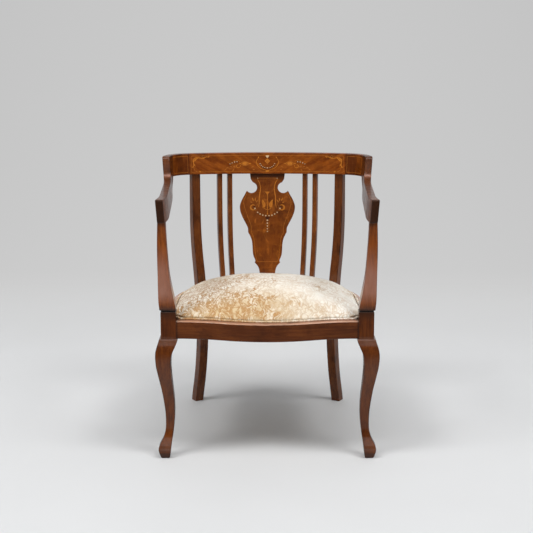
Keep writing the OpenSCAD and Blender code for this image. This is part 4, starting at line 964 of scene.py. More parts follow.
class Inlay:
    """Shapes of one wood, given in mm on a flat face and laid by place(x, z); flip mirrors them."""
    def __init__(self, name, material):
        self.name, self.material, self.bm = name, material, bmesh.new()

    def lay(self, points, place, flip=False):
        return [self.bm.verts.new(metres([place(-x if flip else x, z)])[0]) for x, z in points]

    def add(self, outline, place, flip=False):
        tris = geometry.tessellate_polygon([[Vector((-x if flip else x, z, 0)) for x, z in outline]])
        vs = self.lay(outline, place, flip)
        for t in tris:
            self.bm.faces.new([vs[i] for i in t])

    def line(self, pts, width, place, flip=False):
        """A ribbon along the points. Its width is one number, or two lists: shares of the way, and widths."""
        p = np.array(pts, float)
        w = np.full(len(p), width) if np.isscalar(width) else np.interp(np.linspace(0, 1, len(p)), *width)
        d = run(p)
        t = np.linspace(0, d[-1], max(2, int(d[-1] / RIBBON_STEP) + 1))
        q = np.stack([np.interp(t, d, p[:, 0]), np.interp(t, d, p[:, 1])], 1)
        along = unit_rows(np.gradient(q, axis=0))
        half = np.stack([-along[:, 1], along[:, 0]], 1) * np.interp(t, d, w)[:, None] / 2
        va, vb = self.lay(q + half, place, flip), self.lay(q - half, place, flip)
        for i in range(len(t) - 1):
            self.bm.faces.new((va[i], va[i + 1], vb[i + 1], vb[i]))

    def flow(self, pts, width, place, flip=False, steps=4):
        self.line(smooth(pts, steps), width, place, flip)

    def dot(self, x, z, r, place, flip=False, squash=1.0, n=14):
        angles = [2 * math.pi * i / n for i in range(n)]
        x = -x if flip else x
        self.add([(x + r * math.cos(a), z + r * squash * math.sin(a)) for a in angles], place)

    def leaf(self, x, z, length, width, turn, place, flip=False):
        """A pointed leaf from (x, z), turned by that many degrees."""
        c, s = math.cos(math.radians(turn)), math.sin(math.radians(turn))
        shares = [i / LEAF_STEPS for i in range(LEAF_STEPS + 1)]
        upper = [(t * length, width / 2 * math.sin(math.pi * t ** 0.8)) for t in shares]
        pts = upper + [(u, -v) for u, v in upper[-2:0:-1]]
        self.add([(x + u * c - v * s, z + u * s + v * c) for u, v in pts], place, flip)

    def leaves(self, rows, place, flip=False):
        for row in rows:
            self.leaf(*row, place, flip)

    def done(self):
        bmesh.ops.triangulate(self.bm, faces=self.bm.faces[:])
        finish_mesh(self.name, self.bm, self.material, weighted=False)


def arc(x, z, rx, rz, a0, a1, n):
    return [[x + rx * math.cos(a), z + rz * math.sin(a)]
            for a in np.linspace(math.radians(a0), math.radians(a1), n)]


gold, soft = Inlay("inlay_gold", SATIN), Inlay("inlay_lines", SATIN_SOFT)
pale, dark = Inlay("inlay_pale", BOX), Inlay("inlay_dark", DARK)


def splat_half(f):
    """The borders, tulip, scroll and sprigs on one half of the splat."""
    soft.flow([[-61.5, 634], [-66.5, 622], [-70.8, 610], [-68.8, 596], [-63.8, 580], [-58.6, 564],
               [-52.9, 550], [-48.7, 535], [-47.8, 516]], 1.15, on_splat, f)
    soft.flow([[-47.8, 516], [-42.5, 506.5], [-39.4, 492], [-37.6, 470], [-35.6, 452], [-32.5, 436],
               [-29.5, 431]],
              1.15, on_splat, f)
    gold.flow([[-29.5, 678.5], [-27.6, 674], [-23.2, 665.5], [-21.0, 655], [-20.8, 646], [-22.6, 634],
               [-24.3, 622], [-24.3, 610], [-25.0, 600], [-26.5, 593]],
              ([0, 0.1, 0.45, 0.6, 0.75, 1], [1.3, 1.5, 2.1, 3.0, 2.6, 1.6]), on_splat, f)
    pale.dot(-28.9, 681.0, 1.5, on_splat, f, 0.7)
    # wing leaf beside the tulip
    gold.add(smooth([[-16.2, 617], [-11.5, 613.5], [-6.2, 605], [-6.0, 597], [-9.2, 592.6], [-13.2, 594.5],
                     [-15.2, 602], [-16.2, 617]], 4)[:-1], on_splat, f)
    soft.flow([[-14.8, 613], [-12.0, 606], [-10.0, 598]], 0.6, on_splat, f)
    gold.flow([[-16.5, 596], [-11, 590.5], [-4.5, 587], [0, 586]],
              ([0, 4 / 12, 5 / 12, 1], [1.0, 1.0, 1.3, 1.3]), on_splat, f)
    # C scroll
    gold.line(arc(-42.6, 593.0, 7.8, 7.8, 48, 312, 26),
              ([0, 0.45, 0.75, 1], [1.4, 4.8, 4.0, 1.8]), on_splat, f)
    gold.flow([[-40.0, 586.6], [-35.5, 584.5], [-32.0, 586.0]], ([0, 3 / 8, 4 / 8, 1], [1.6, 1.6, 1.1, 1.1]),
              on_splat, f)
    dark.dot(-39.4, 594.8, 3.0, on_splat, f, 0.8)
    pale.dot(-37.3, 589.7, 2.3, on_splat, f)
    # sprigs
    gold.leaves(((-41.0, 612.0, 12, 4.0, 116), (-37.0, 612.0, 11, 3.6, 82)), on_splat, f)
    soft.leaves(((-33.0, 608.0, 10, 3.2, 64), (-44.5, 606.5, 8, 3.0, 150)), on_splat, f)
    soft.flow([[-37.5, 619], [-34, 611], [-30.5, 604], [-27.5, 599]], 0.8, on_splat, f)
    soft.flow([[-30, 601], [-33.5, 597.5], [-34, 593]], 0.9, on_splat, f)
    soft.leaves(((-3.1, 530.0, 4.2, 1.7, 130), (-3.5, 522.5, 4.2, 1.7, 120), (-2.5, 538.5, 3.6, 1.7, 135)),
                on_splat, f)


def splat_middle():
    soft.line([[-27, 681.2], [27, 681.2]], 1.0, on_splat)
    soft.line([[-29.5, 430.5], [29.5, 430.5]], 1.15, on_splat)
    gold.line([[0, 638], [0, 573]], ([0, 1], [1.8, 1.9]), on_splat)
    gold.add([[-8.2, 640.5], [8.2, 640.5], [5.2, 638.0], [2.2, 634.0], [0.9, 629.0], [-0.9, 629.0],
              [-2.2, 634.0], [-5.2, 638.0]], on_splat)
    gold.add([[0, 577.5], [2.4, 573.5], [0, 570.5], [-2.4, 573.5]], on_splat)
    for x, z in ((29.3, 577.8), (21.8, 572.9), (13.8, 569.3), (4.8, 568.0)):
        for f in (True, False):
            dark.dot(x, z - 0.8, 2.9, on_splat, f)
            pale.dot(x, z, 2.15, higher_on_splat, f, n=12)
    # the husk drop
    dark.add([[-8.5, 560.8], [0, 565.0], [8.5, 560.8], [0, 556.0]], on_splat)
    for z, r in ((554.0, 2.4), (545.3, 2.3), (536.8, 2.0), (528.4, 1.9), (520.6, 1.7)):
        dark.dot(0, z - 0.5, r + 0.7, on_splat)
        pale.dot(0, z, r, higher_on_splat)


def crest_middle():
    """Fan, lozenge, dotted loop, brackets and drop."""
    for z in (LINE_TOP, LINE_LOW):
        soft.line([[6 - JOINT_S, z], [JOINT_S - 6, z]], 1.1, on_band)
    pale.add(smooth([[-5.6, 750.4], [-2.6, 748.9], [0, 750.0], [2.6, 748.9], [5.6, 750.4], [4.2, 746.0],
                     [2.0, 743.0], [0, 742.2], [-2.0, 743.0], [-4.2, 746.0], [-5.6, 750.4]], 2)[:-1], on_band)
    gold.add([[0, 741.0], [8.3, 732.4], [0, 724.0], [-8.3, 732.4]], on_band)
    soft.add([[0, 737.4], [4.8, 732.4], [0, 727.4], [-4.8, 732.4]], higher_on_band)
    for f in (True, False):
        dark.leaf(2.5, 742.5, 7.0, 2.2, 30, on_band, f)
        for x, z in ((21.5, 724.6), (18.0, 719.6), (13.4, 715.6), (7.6, 713.2)):
            dark.dot(x, z - 0.9, 2.5, on_band, f)
            pale.dot(x, z, 1.35, higher_on_band, f)
        gold.flow([[27.5, 741.0], [31.8, 735.0], [32.6, 728.0], [29.2, 719.5], [22.0, 712.5], [12.0, 708.0],
                   [3.0, 705.5]], ([0, 0.3, 1], [1.0, 2.2, 0.9]), on_band, f)
        gold.leaf(28.0, 740.0, 7.5, 2.6, 115, on_band, f)
    dark.dot(0, 711.6, 2.6, on_band)
    pale.dot(0, 712.4, 2.0, higher_on_band, squash=0.8)
    gold.dot(0, 702.9, 5.6, higher_on_band, squash=0.5)


def crest_half(f):
    """Eye, pearls, wisps and corner scroll on one half of the crest rail."""
    eye = [[-66.5 + 11.5 * math.cos(a), 725.4 + 6.6 * math.sin(a) * (1 - 0.25 * abs(math.cos(a)))]
           for a in np.linspace(0, 2 * math.pi, 33)]
    soft.line(eye, 1.5, on_band, f)
    gold.dot(-66.5, 725.4, 8.2, on_band, f, 0.6)
    gold.leaves(((-56.5, 725.4, 9.0, 3.0, 0), (-76.5, 725.4, 9.0, 3.0, 180)), on_band, f)
    for x, z, r in ((-89.8, 731.0, 1.5), (-97.2, 730.2, 1.7), (-104.6, 727.6, 1.6), (-111.0, 724.6, 1.3)):
        dark.dot(x, z - 0.8, r + 0.8, on_band, f)
        pale.dot(x, z, r, higher_on_band, f)
    gold.flow([[-80.5, 726], [-84.0, 733.5], [-92.0, 736.0], [-101.0, 733.5]], 0.9, on_band, f)
    gold.flow([[-79.5, 722.0], [-81.5, 715.5], [-87.0, 713.0], [-92.0, 716.5], [-90.5, 721.5],
               [-86.5, 721.5]],
              ([0, 0.5, 1], [1.0, 2.3, 1.0]), on_band, f)
    soft.leaves(((-93.5, 718, 10, 3.0, 185), (-104, 715.5, 9, 2.6, 170), (-114, 716, 9, 2.6, 200),
                 (-121, 711, 8, 2.6, 215), (-99, 709, 8, 2.4, 230), (-48, 714, 9, 2.4, 20),
                 (-44, 708, 8, 2.2, -10)),
                on_band, f)
    soft.flow([[-90, 716], [-103, 712.5], [-118, 711.5], [-128, 706]], 0.9, on_band, f)
    gold.flow([[-172.5, 744.6], [-180, 746.6], [-187.5, 743.2], [-194.0, 742.0], [-203.5, 744.4],
               [-212.5, 744.2], [-219.6, 737.5], [-219.0, 727.5], [-220.3, 718.5]],
              ([0, 0.25, 0.45, 0.7, 0.85, 1], [1.0, 2.6, 1.4, 3.4, 2.6, 1.0]), on_band, f, 5)
    gold.line(arc(-190.5, 747.2, 3.6, 3.3, 0, 360, 19), 1.3, on_band, f)
    dark.dot(-190.5, 747.0, 2.1, higher_on_band, f)
    gold.leaves(((-205, 743, 13, 3.2, 200), (-210.5, 739.5, 11, 3.4, 215), (-219.2, 728, 11, 3.2, 300),
                 (-217.5, 722, 10, 3.0, 230), (-178, 745.5, 8, 2.6, 20), (-196.5, 701.5, 8.0, 3.2, 150)),
                on_band, f)
    soft.flow([[-219.5, 718], [-216, 708], [-206, 702.6], [-197, 701.4]], 1.2, on_band, f)
    soft.line([[5.5 - JOINT_S, LINE_LOW], [5.5 - JOINT_S, LINE_TOP]], 0.9, on_band, f)


def return_lines(side):
    """A stringing frame on one return."""
    def place(s, z):
        return on_return(s, z, side)

    end = (RETURN_END - JOINT_A) * CORNER_R - 5
    for z in (LINE_TOP, LINE_LOW):
        soft.line([[5, z], [end, z]], 1.1, place)
    for s in (5, end):
        soft.line([[s, LINE_LOW], [s, LINE_TOP]], 0.9, place)


splat_middle()
crest_middle()
for flipped in (False, True):
    splat_half(flipped)
    crest_half(flipped)
    return_lines(-1 if flipped else 1)
for inlay in (gold, soft, pale, dark):
    inlay.done()

# Seat outline, as in the source
EDGE_GAP = 2.0
SEAT_MID = np.array([0, (BOX_FRONT + BACK_Y) / 2])


def seat_back_r(gap):
    return BACK_R - STICK_W * 0.75 - gap


def seat_edge(d, notched=True):
    """Right half of the line d inside the piping, from the front middle: notched round the blocks, or cut
    across there."""
    ins, gap = SHOW_WOOD + PIPING_R + d, EDGE_GAP + PIPING_R + d
    xf, nb = BLOCK_IN - gap, BLOCK_BACK + gap
    xs = SIDE_OUT - SHOW_SIDE - PIPING_R - d
    rs = SIDE_R + SIDE_T / 2 - SHOW_SIDE - PIPING_R - d
    u, v = np.array([math.sin(FAN), math.cos(FAN)]), np.array([math.cos(FAN), -math.sin(FAN)])
    post = np.array([POST_SX, POST_SY]) - u * (POST_D / 2 + gap)
    p1, p2 = post + v * (POST_W / 2 + gap / 3), post - v * (POST_W / 2 + gap / 3)
    l1 = to_side(p1)
    a1 = math.atan2(l1[1] - SIDE_TURN, l1[0] - SIDE_CX)
    rb = seat_back_r(gap)
    out = [(xf * i / 12, front_line(xf * i / 12, ins)) for i in range(12)]
    f = np.array([xf, front_line(xf, ins)])
    if notched:
        out += [f, (xf, nb - gap / 2), (xf + gap / 2, nb), from_side((xs - gap / 2, nb + gap / 4))]
    else:
        b = np.array(from_side((xs, nb + gap)))
        c = np.array([xf, (f[1] + b[1]) / 2])
        out += [f * (1 - k) ** 2 + c * 2 * k * (1 - k) + b * k * k
                for k in ((t + 0.5) / 4.5 for t in range(4))]
    out += [from_side((xs, nb + gap + (SIDE_TURN - nb - gap) * i / 5)) for i in range(5)]
    out += [from_side((SIDE_CX + rs * math.cos(a1 * i / 6.5), SIDE_TURN + rs * math.sin(a1 * i / 6.5)))
            for i in range(6)]
    out += [p1, (p1 + p2) / 2, p2]
    for x in ((p2[0] - gap) * (10 - i) / 9.6 for i in range(1, 10)):
        out.append((x, BACK_CY + math.sqrt(rb * rb - x * x)))
    return [np.array(q, float) for q in out]


def seat_ring(d, notched=True):
    half = seat_edge(d, notched)
    back = np.array([0, BACK_CY + seat_back_r(EDGE_GAP + PIPING_R + d)])
    return np.array(half + [back] + [q * [-1, 1] for q in half[:0:-1]])


def resample(ring, n):
    """n points at equal distances round a ring."""
    p = np.vstack([ring, ring[:1]])
    d = run(p)
    t = np.linspace(0, d[-1], n + 1)[:-1]
    return np.stack([np.interp(t, d, p[:, k]) for k in range(p.shape[1])], 1)


def soften(p, passes):
    for _ in range(passes):
        p = 0.25 * np.roll(p, 1, 0) + 0.5 * p + 0.25 * np.roll(p, -1, 0)
    return p


# Cover. Its profile is given as (share of the outline, share of the height).
COVER = [[1, 0], [1.004, 0.06], [1, 0.13], [0.985, 0.19], [0.955, 0.25], [0.9, 0.335], [0.82, 0.445],
         [0.7, 0.59], [0.55, 0.75], [0.38, 0.88], [0.2, 0.97]]
COVER_BOTTOM = SEAT_H + HESSIAN_T + REST
COVER_H = CROWN - HESSIAN_T - REST
SWELL, VOXEL, LAST_FRAME = 5.0, 0.006, 20


def cover_rings(inset, n=160):
    """The dome, its outline notched at the seat and rounder towards the crown."""
    edge, round_edge = seat_ring(PIPING_R + REST + inset), seat_ring(PIPING_R + REST + inset, False)
    rings = []
    for a, b in smooth(COVER, 3):
        w = min(1.0, b * 2.2)
        ring = resample(soften(resample(edge * (1 - w) + round_edge * w, n), 2), n)
        rings.append(np.c_[ring[:, 0] * a, SEAT_MID[1] + (ring[:, 1] - SEAT_MID[1]) * a,
                           np.full(n, COVER_BOTTOM + b * (COVER_H - inset))])
    return rings


def vectors(me, key="co"):
    """Places or normals of a mesh's vertices, one row each."""
    values = np.empty(len(me.vertices) * 3)
    me.vertices.foreach_get(key, values)
    return values.reshape(-1, 3)


def set_places(me, places):
    me.vertices.foreach_set("co", places.ravel())
    me.update()


def apply_modifiers(ob):
    new = bpy.data.meshes.new_from_object(ob.evaluated_get(bpy.context.evaluated_depsgraph_get()))
    old = ob.data
    ob.modifiers.clear()
    ob.data = new
    name = old.name
    bpy.data.meshes.remove(old)
    new.name = name


def above_underside(p):
    """Height above the cover's underside, for points in metres in the frame."""
    y = p[:, 1] * 1000 + MID_Y - BLOCK_BACK
    z = p[:, 2] * 1000 - SEAT_H
    return (z * math.cos(RAKE) + y * math.sin(RAKE) - (COVER_BOTTOM - SEAT_H)) * 0.001


def puff(ob):
    """Cloth pressed out from inside, pinned at its underside and moved by at most SWELL mm."""
    mod = ob.modifiers.new("voxels", "REMESH")
    mod.mode, mod.voxel_size = "VOXEL", VOXEL
    apply_modifiers(ob)
    rest = vectors(ob.data)
    pin = ob.vertex_groups.new(name="pin")
    for i, h in enumerate(above_underside(rest)):
        pin.add([i], min(1.0, max(0.0, (0.010 - h) / 0.008)), "REPLACE")
    cloth = ob.modifiers.new("cloth", "CLOTH")
    settings = cloth.settings
    settings.quality = 6
    settings.mass = 0.25
    settings.tension_stiffness = settings.compression_stiffness = 14
    settings.bending_stiffness = 2.5
    settings.use_pressure = True
    settings.uniform_pressure_force = 4.0
    settings.vertex_group_mass = "pin"
    settings.effector_weights.gravity = 0.0
    cloth.collision_settings.use_self_collision = False
    scene.frame_start, scene.frame_end = 1, LAST_FRAME
    cloth.point_cache.frame_start, cloth.point_cache.frame_end = 1, LAST_FRAME
    for f in range(1, LAST_FRAME + 1):
        scene.frame_set(f)
    apply_modifiers(ob)
    scene.frame_set(1)
    moved = vectors(ob.data) - rest
    length = np.linalg.norm(moved, axis=1, keepdims=True)
    set_places(ob.data, rest + moved * np.minimum(1.0, SWELL * 0.001 / np.maximum(length, 1e-9)))
    ob.vertex_groups.clear()
    ob.data.materials.clear()
    ob.data.materials.append(VELVET)


def crush(me):
    """Hand-felt unevenness: a slow wave and small dents, fading out towards the piping."""
    co = vectors(me)
    fade = np.clip((above_underside(co) - 0.004) / 0.012, 0, 1)
    dent = np.zeros(len(co))
    for i in np.nonzero(fade)[0]:
        x, y, z = co[i]
        dent[i] = (0.0011 * noise.noise(Vector((x * 9 + 3.1, y * 9, z * 9 + 1.7)))
                   + 0.00045 * noise.noise(Vector((x * 34 + 7.3, y * 34, z * 44))))
    set_places(me, co + vectors(me, "normal") * (dent * fade)[:, None])


def make_cover():
    rings = cover_rings(SWELL * 0.55)
    m, n = len(rings), len(rings[0])
    pts = np.vstack(rings + [[[0, SEAT_MID[1], rings[-1][0][2] + 0.03 * COVER_H]],
                             [[0, SEAT_MID[1], COVER_BOTTOM]]])
    faces = loft_faces(m, n)
    faces += [((m - 1) * n + j, (m - 1) * n + (j + 1) % n, m * n) for j in range(n)]
    faces += [((j + 1) % n, j, m * n + 1) for j in range(n)]
    ob = plain_mesh("seat_cover_velvet", metres(raked(pts)), faces, VELVET, ["seat_cover"])
    puff(ob)
    finer = ob.modifiers.new("finer", "SUBSURF")
    finer.levels = finer.render_levels = 1
    apply_modifiers(ob)
    crush(ob.data)
    ob.data.polygons.foreach_set("use_smooth", [True] * len(ob.data.polygons))


make_cover()


# Piping, hessian and stuffing
def make_piping(sides=12):
    line = soften(resample(seat_ring(0), 420), 3)
    p = np.c_[line, np.full(len(line), SEAT_H + PIPING_R + REST)]
    ahead = unit_rows(np.roll(p, -1, 0) - np.roll(p, 1, 0))
    out = unit_rows(np.cross(ahead, np.array([0.0, 0.0, 1.0])))
    up = np.cross(out, ahead)
    points = []
    for q, o, u, d in zip(p, out, up, run(p)):
        r = PIPING_R * (1 + 0.16 * noise.noise(Vector((d * 0.07, 3.3, 0.2))))
        points += [q + o * r * math.cos(a) + u * r * math.sin(a)
                   for a in (2 * math.pi * j / sides for j in range(sides))]
    ob = plain_mesh("seat_piping_velvet", metres(raked(points)), loft_faces(len(p), sides, closed=True),
                    VELVET, ["seat_piping"])


def slab(name, outline, z0, z1, node, sag):
    """A flat piece of cloth or wadding between two heights: rings towards the middle on both faces."""
    rings, cloth = [], []
    shares = np.linspace(1, 0.06, 12)
    for z, order, dip in ((z0, shares[::-1], sag), (z1, shares, -sag)):
        for k in order:
            q = SEAT_MID + (outline - SEAT_MID) * k
            lift = np.array([noise.noise(Vector((x * 0.02, y * 0.02, z * 0.3))) for x, y in q])
            rings.append(np.c_[q, z + dip * (0.5 + 0.5 * lift) * min(1.0, (1 - k) * 8)])
            cloth += [(x * 0.001, y * 0.001, z * 0.001) for x, y in q]
    return plain_mesh(name, metres(raked(np.vstack(rings))), loft_faces(len(rings), len(outline), caps=True),
                      HESSIAN, [node], False, cloth)


make_piping()
edge_line = resample(seat_ring(PIPING_R + REST), 150)
hessian = slab("seat_hessian_cloth", edge_line, SEAT_H + 0.02, SEAT_H + HESSIAN_T, "seat_hessian", 0.3)
stuffing = slab("seat_stuffing_fibre", SEAT_MID + (edge_line - SEAT_MID) * 0.87, COVER_BOTTOM + 0.4,
                COVER_BOTTOM + 22.5, "seat_stuffing", 1.2)

# Webbing, tacks and springs
STRAP_GAP, STRAP_FLAT = 0.2, 14.0
STRAP_LIFT = (STRAP_T + STRAP_GAP) / 2
STRAP_Z = RAIL_BOTTOM - STRAP_T / 2 - STRAP_LIFT
STRAP_ROW = [w * STRAP_W / 50 for w in (-25, -24.2, -22, -12, 0, 12, 22, 24.2, 25.0)]
WELL_HALF = SIDE_OUT - SIDE_T
WELL_FRONT = BOW_END - BOW + RAIL_T
WELL_BACK = BACK_Y - SIDE_T / 2
STRAP_SPAN = POST_SX - POST_W - STRAP_W / 2
TACK_R, TACK_H, TACK_IN, TACK_SIDES = 4.0, 1.2, 7.0, 14
TACK_SHAPE = [(0.45, 0.0), (0.75, 0.12), (0.93, 0.4), (1.0, 0.75), (1.0, 1.0)]
SPRING_TURNS, WAIST, COIL_STEPS, WIRE_SIDES = 4, 0.72, 96, 8


def across(i):
    return STRAP_SPAN * (2 * i + 1 - STRAPS) / (STRAPS - 1)


def along(j):
    return WELL_FRONT + (WELL_BACK - WELL_FRONT) * (j + 0.85) / (STRAPS + 0.7)


def strap_y0(x):
    return front_line(x, RAIL_T) - RAIL_T * GRIP_SHARE


def strap_y1(x):
    return BACK_CY + math.sqrt((BACK_R - SIDE_T / 2) ** 2 - x * x) + SIDE_T * GRIP_SHARE


def strap_x1(y):
    x = WELL_HALF if y < SIDE_TURN else SIDE_CX + math.sqrt((SIDE_R - SIDE_T / 2) ** 2 - (y - SIDE_TURN) ** 2)
    return x - (y - BLOCK_BACK) * math.tan(TAPER) + SIDE_T * GRIP_SHARE


def woven(s0, s1, crossings, up):
    """The over-and-under line of a strap, flat where it is tacked."""
    line = [(s0, 1), (s0 + STRAP_FLAT, 1)]
    for i, s in enumerate(crossings):
        line += [(s + k * (STRAP_W / 2 + STRAP_T), 1 if (i + up) % 2 == 0 else -1) for k in (-1, 1)]
    line += [(s1 - STRAP_FLAT, 1), (s1, 1)]
    return np.array([(s, STRAP_Z + k * STRAP_LIFT) for s, k in line])


def strap(line, place, seed):
    """Points, faces and weave of a jute strap along the line, thinner at its selvedges."""
    s = np.unique(np.concatenate([np.arange(line[0, 0], line[-1, 0], 6.0), line[:, 0]]))
    row = [(w, 1) for w in STRAP_ROW] + [(w, -1) for w in STRAP_ROW[::-1]]
    pts, cloth = [], []
    for si, zi in zip(s, np.interp(s, line[:, 0], line[:, 1])):
        for w, side in row:
            t = STRAP_T / 2 * (0.55 if abs(w) > STRAP_W * 0.497 else 1.0)
            pts.append(place(si, w + 0.5 * noise.noise(Vector((si * 0.012, seed, 0))), zi + side * t))
            cloth.append((w * 0.001, si * 0.001 + seed * 0.1, side * 0.001))
    return metres(raked(pts)), loft_faces(len(s), len(row), caps=True), cloth


def join_straps(name, straps, node):
    pts, faces, cloth = np.empty((0, 3)), [], []
    for p, f, c in straps:
        faces += [tuple(i + len(pts) for i in g) for g in f]
        pts = np.vstack([pts, p])
        cloth += c
    plain_mesh(name, pts, faces, WEBBING, [node], False, cloth)


def copies(name, one, faces, places, material, node):
    """One piece of many equal solids: the points of one, in mm, moved to each place (x, y)."""
    pts = np.vstack([one + [x, y, 0] for x, y in places])
    all_faces = [tuple(i + k * len(one) for i in f) for k in range(len(places)) for f in faces]
    plain_mesh(name, metres(raked(pts)), all_faces, material, [node])


def make_tacks():
    base = RAIL_BOTTOM - STRAP_T - TACK_H
    one = np.array([(TACK_R * r * math.cos(a), TACK_R * r * math.sin(a), base + TACK_H * h)
                    for r, h in TACK_SHAPE for a in (2 * math.pi * j / TACK_SIDES for j in range(TACK_SIDES))])
    places = []
    for i in range(STRAPS):
        x, y = across(i), along(i)
        for k in (-STRAP_W / 3, 0, STRAP_W / 3):
            places += [(x + k, strap_y0(x) + TACK_IN), (x + k, strap_y1(x) - TACK_IN),
                       (strap_x1(y) - TACK_IN, y + k), (TACK_IN - strap_x1(y), y + k)]
    copies("webbing_tack_heads", one, loft_faces(len(TACK_SHAPE), TACK_SIDES, caps=True), places, TACK,
           "webbing_tacks")


def coil(t):
    """A point of the spring's wire, t from 0 at its foot to 1 at its top; the waist is in the middle."""
    r = (SPRING_D - WIRE_D) / 2 * (1 - (1 - WAIST) * math.sin(math.pi * t))
    a = 2 * math.pi * SPRING_TURNS * t
    up = RAIL_BOTTOM + REST + WIRE_D / 2 + t * (RAIL_H - 2 * REST - WIRE_D)
    return r * math.cos(a), r * math.sin(a), up


def make_springs():
    path = np.array([coil(i / COIL_STEPS) for i in range(COIL_STEPS + 1)])
    out = unit_rows(path * [1, 1, 0])
    side = np.cross(unit_rows(np.gradient(path, axis=0)), out)
    one = np.array([p + WIRE_D / 2 * (o * math.cos(a) + s * math.sin(a)) for p, o, s in zip(path, out, side)
                    for a in np.linspace(0, 2 * math.pi, WIRE_SIDES + 1)[:-1]])
    places = [(across(i), along(j)) for i in range(STRAPS) for j in range(1, STRAPS - 1)]
    copies("seat_spring_coils", one, loft_faces(len(path), WIRE_SIDES, caps=True), places, STEEL,
           "seat_springs")


xs, ys = [across(i) for i in range(STRAPS)], [along(j) for j in range(STRAPS)]
join_straps("webbing_straps_lengthwise", [
    strap(woven(strap_y0(x), strap_y1(x), ys, i), lambda s, w, z: (x + w, s, z), i + 1)
    for i, x in enumerate(xs)], "webbing_lengthwise")
join_straps("webbing_straps_crosswise", [
    strap(woven(-strap_x1(y), strap_x1(y), xs, j + 1), lambda s, w, z: (s, y + w, z), j + 7)
    for j, y in enumerate(ys)], "webbing_crosswise")
make_tacks()
make_springs()

# CAD nodes that keep their shape
for key in ("corner_blocks", "support_dowels", "arm_dowels", "crest_dowels"):
    kept = nodes[key].data.materials
    kept.clear()
    kept.append(BEECH)

# Stage
FLOOR_FRONT, FLOOR_BACK, SWEEP_R, STAGE_HALF, STAGE_H = -6.0, 2.2, 1.6, 9.0, 6.0


def floor_mat(name):
    """Studio paper: a lit floor in front, and behind the chair a backdrop of set brightness."""
    m = Mat(name)
    g, ray = m.coords(), m.node("LightPath").outputs
    x, y, z = m.xyz(g)
    tone = m.ramp(m.noise(g, 1.4, 2.0), [(0.3, (0.68, 0.685, 0.69)), (0.7, (0.71, 0.715, 0.72))])
    # what polished wood sees of the floor in front of the chair is dim, as in a dark studio
    ahead = m.values(m.add(m.mul(y, 0.25), 0.5), [(0.17, 0.12), (0.32, 0.6)])
    seen = m.mix(ray["Is Glossy Ray"], (1.0, 1.0, 1.0), ahead)
    m.done(Base_Color=m.mix(1.0, tone, seen, "MULTIPLY"), Roughness=0.55, Specular_IOR_Level=0.1)
    wall = m.values(m.mul(m.add(y, m.mul(z, 1.2)), 0.125), [(0.1, 0.665), (0.2, 0.645), (0.275, 0.612),
                                                            (0.45, 0.594), (0.7, 0.576)])
    vignette = m.math("MAXIMUM", m.sub(1.0, m.mul(m.mul(x, x), 0.02)), 0.7)
    back = m.node("Emission", None, i0=m.mix(1.0, wall, vignette, "MULTIPLY"))
    mirror_too = m.math("MAXIMUM", ray["Is Camera Ray"], ray["Is Glossy Ray"])
    blend = m.mul(mirror_too, m.values(m.mul(y, 0.25), [(0.2, 0.0), (0.48, 1.0)]))
    both = m.node("MixShader", None, i0=blend, i1=m.p.outputs[0], i2=back.outputs[0])
    m.put(m.out.inputs[0], both.outputs[0])
    return m.m


def make_stage():
    prof = [(FLOOR_FRONT, 0.0), (FLOOR_BACK, 0.0)]
    prof += [(FLOOR_BACK + SWEEP_R * math.sin(a), SWEEP_R - SWEEP_R * math.cos(a))
             for a in np.linspace(0, math.pi / 2, 16)]
    prof.append((FLOOR_BACK + SWEEP_R, STAGE_H))
    n = len(prof)
    me = bpy.data.meshes.new("studio_sweep")
    me.from_pydata([(x, y, z) for x in (-STAGE_HALF, STAGE_HALF) for y, z in prof], [],
                   [(i, n + i, n + i + 1, i + 1) for i in range(n - 1)])
    me.polygons.foreach_set("use_smooth", [True] * len(me.polygons))
    me.materials.append(floor_mat("studio_floor"))
    ob = bpy.data.objects.new("studio_sweep", me)
    scene.collection.objects.link(ob)


make_stage()


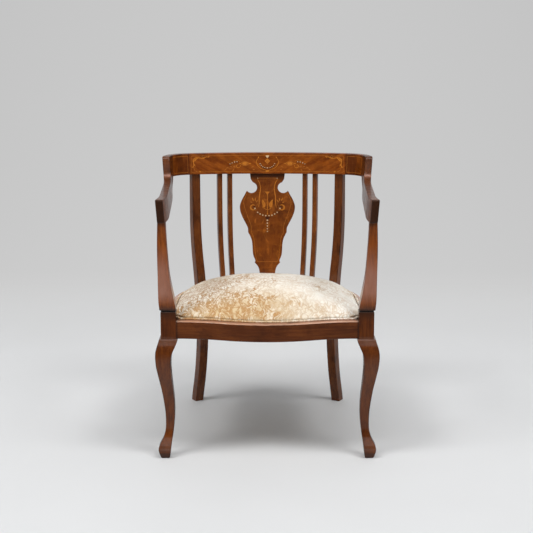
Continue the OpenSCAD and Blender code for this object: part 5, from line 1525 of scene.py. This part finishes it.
def area_light(name, place, aim, size, power, size_y=None):
    data = bpy.data.lights.new(name, "AREA")
    data.energy = power
    data.shape = "RECTANGLE"
    data.size, data.size_y = size, size_y or size
    ob = bpy.data.objects.new(name, data)
    ob.location = place
    ob.rotation_euler = (Vector(aim) - Vector(place)).to_track_quat("-Z", "Y").to_euler()
    scene.collection.objects.link(ob)
    return ob


area_light("key_left", (-3.1, -2.45, 6.0), (0, 0, 0.3), 2.4, 160, size_y=1.9)
area_light("key_right", (3.1, -2.45, 6.0), (0, 0, 0.3), 2.4, 160, size_y=1.9)
area_light("overhead", (0.0, -2.0, 6.0), (0, 0, 0.3), 3.6, 100, size_y=1.9)
# the fills only lift the shade, and the high front panel only shows in the polish
area_light("front_fill", (1.8, -3.4, 1.7), (0, 0, 0.4), 1.6, 9).visible_glossy = False
area_light("left_fill", (-2.8, -1.6, 1.5), (0, 0, 0.4), 1.6, 8).visible_glossy = False
area_light("polish_panel", (0.0, -5.2, 3.6), (0, 0, 0.5), 7.0, 42, size_y=2.4).visible_diffuse = False
area_light("rear_top", (0.5, 1.5, 4.2), (0, 0, 0.4), 3.0, 9)

# the surroundings are dimmer in the polish than on the cloth
WORLD_PLAIN, WORLD_IN_POLISH = 0.36, 0.05
world = bpy.data.worlds.new("studio")
scene.world = world
world.use_nodes = True
wt = world.node_tree
around = wt.nodes["Background"]
around.inputs["Color"].default_value = (0.76, 0.77, 0.78, 1.0)
ray = wt.nodes.new("ShaderNodeLightPath")
dim = wt.nodes.new("ShaderNodeMapRange")
dim.inputs["To Min"].default_value = WORLD_PLAIN
dim.inputs["To Max"].default_value = WORLD_IN_POLISH
wt.links.new(ray.outputs["Is Glossy Ray"], dim.inputs["Value"])
wt.links.new(dim.outputs[0], around.inputs["Strength"])

# Camera, as solved from the photograph, in pixels
SENSOR, IMAGE, FOCAL, CENTRE = 36.0, 533.0, 1300.0, 267.4
cam_data = bpy.data.cameras.new("camera")
cam_data.sensor_width = SENSOR
cam_data.lens = SENSOR * FOCAL / IMAGE
cam_data.shift_x = (IMAGE / 2 - CENTRE) / IMAGE
camera = bpy.data.objects.new("camera", cam_data)
camera.location = (0.0, -3.5665, 1.195)
camera.rotation_euler = (math.radians(78.5), 0.0, 0.0)
scene.collection.objects.link(camera)
scene.camera = camera
scene.view_settings.view_transform = "Standard"
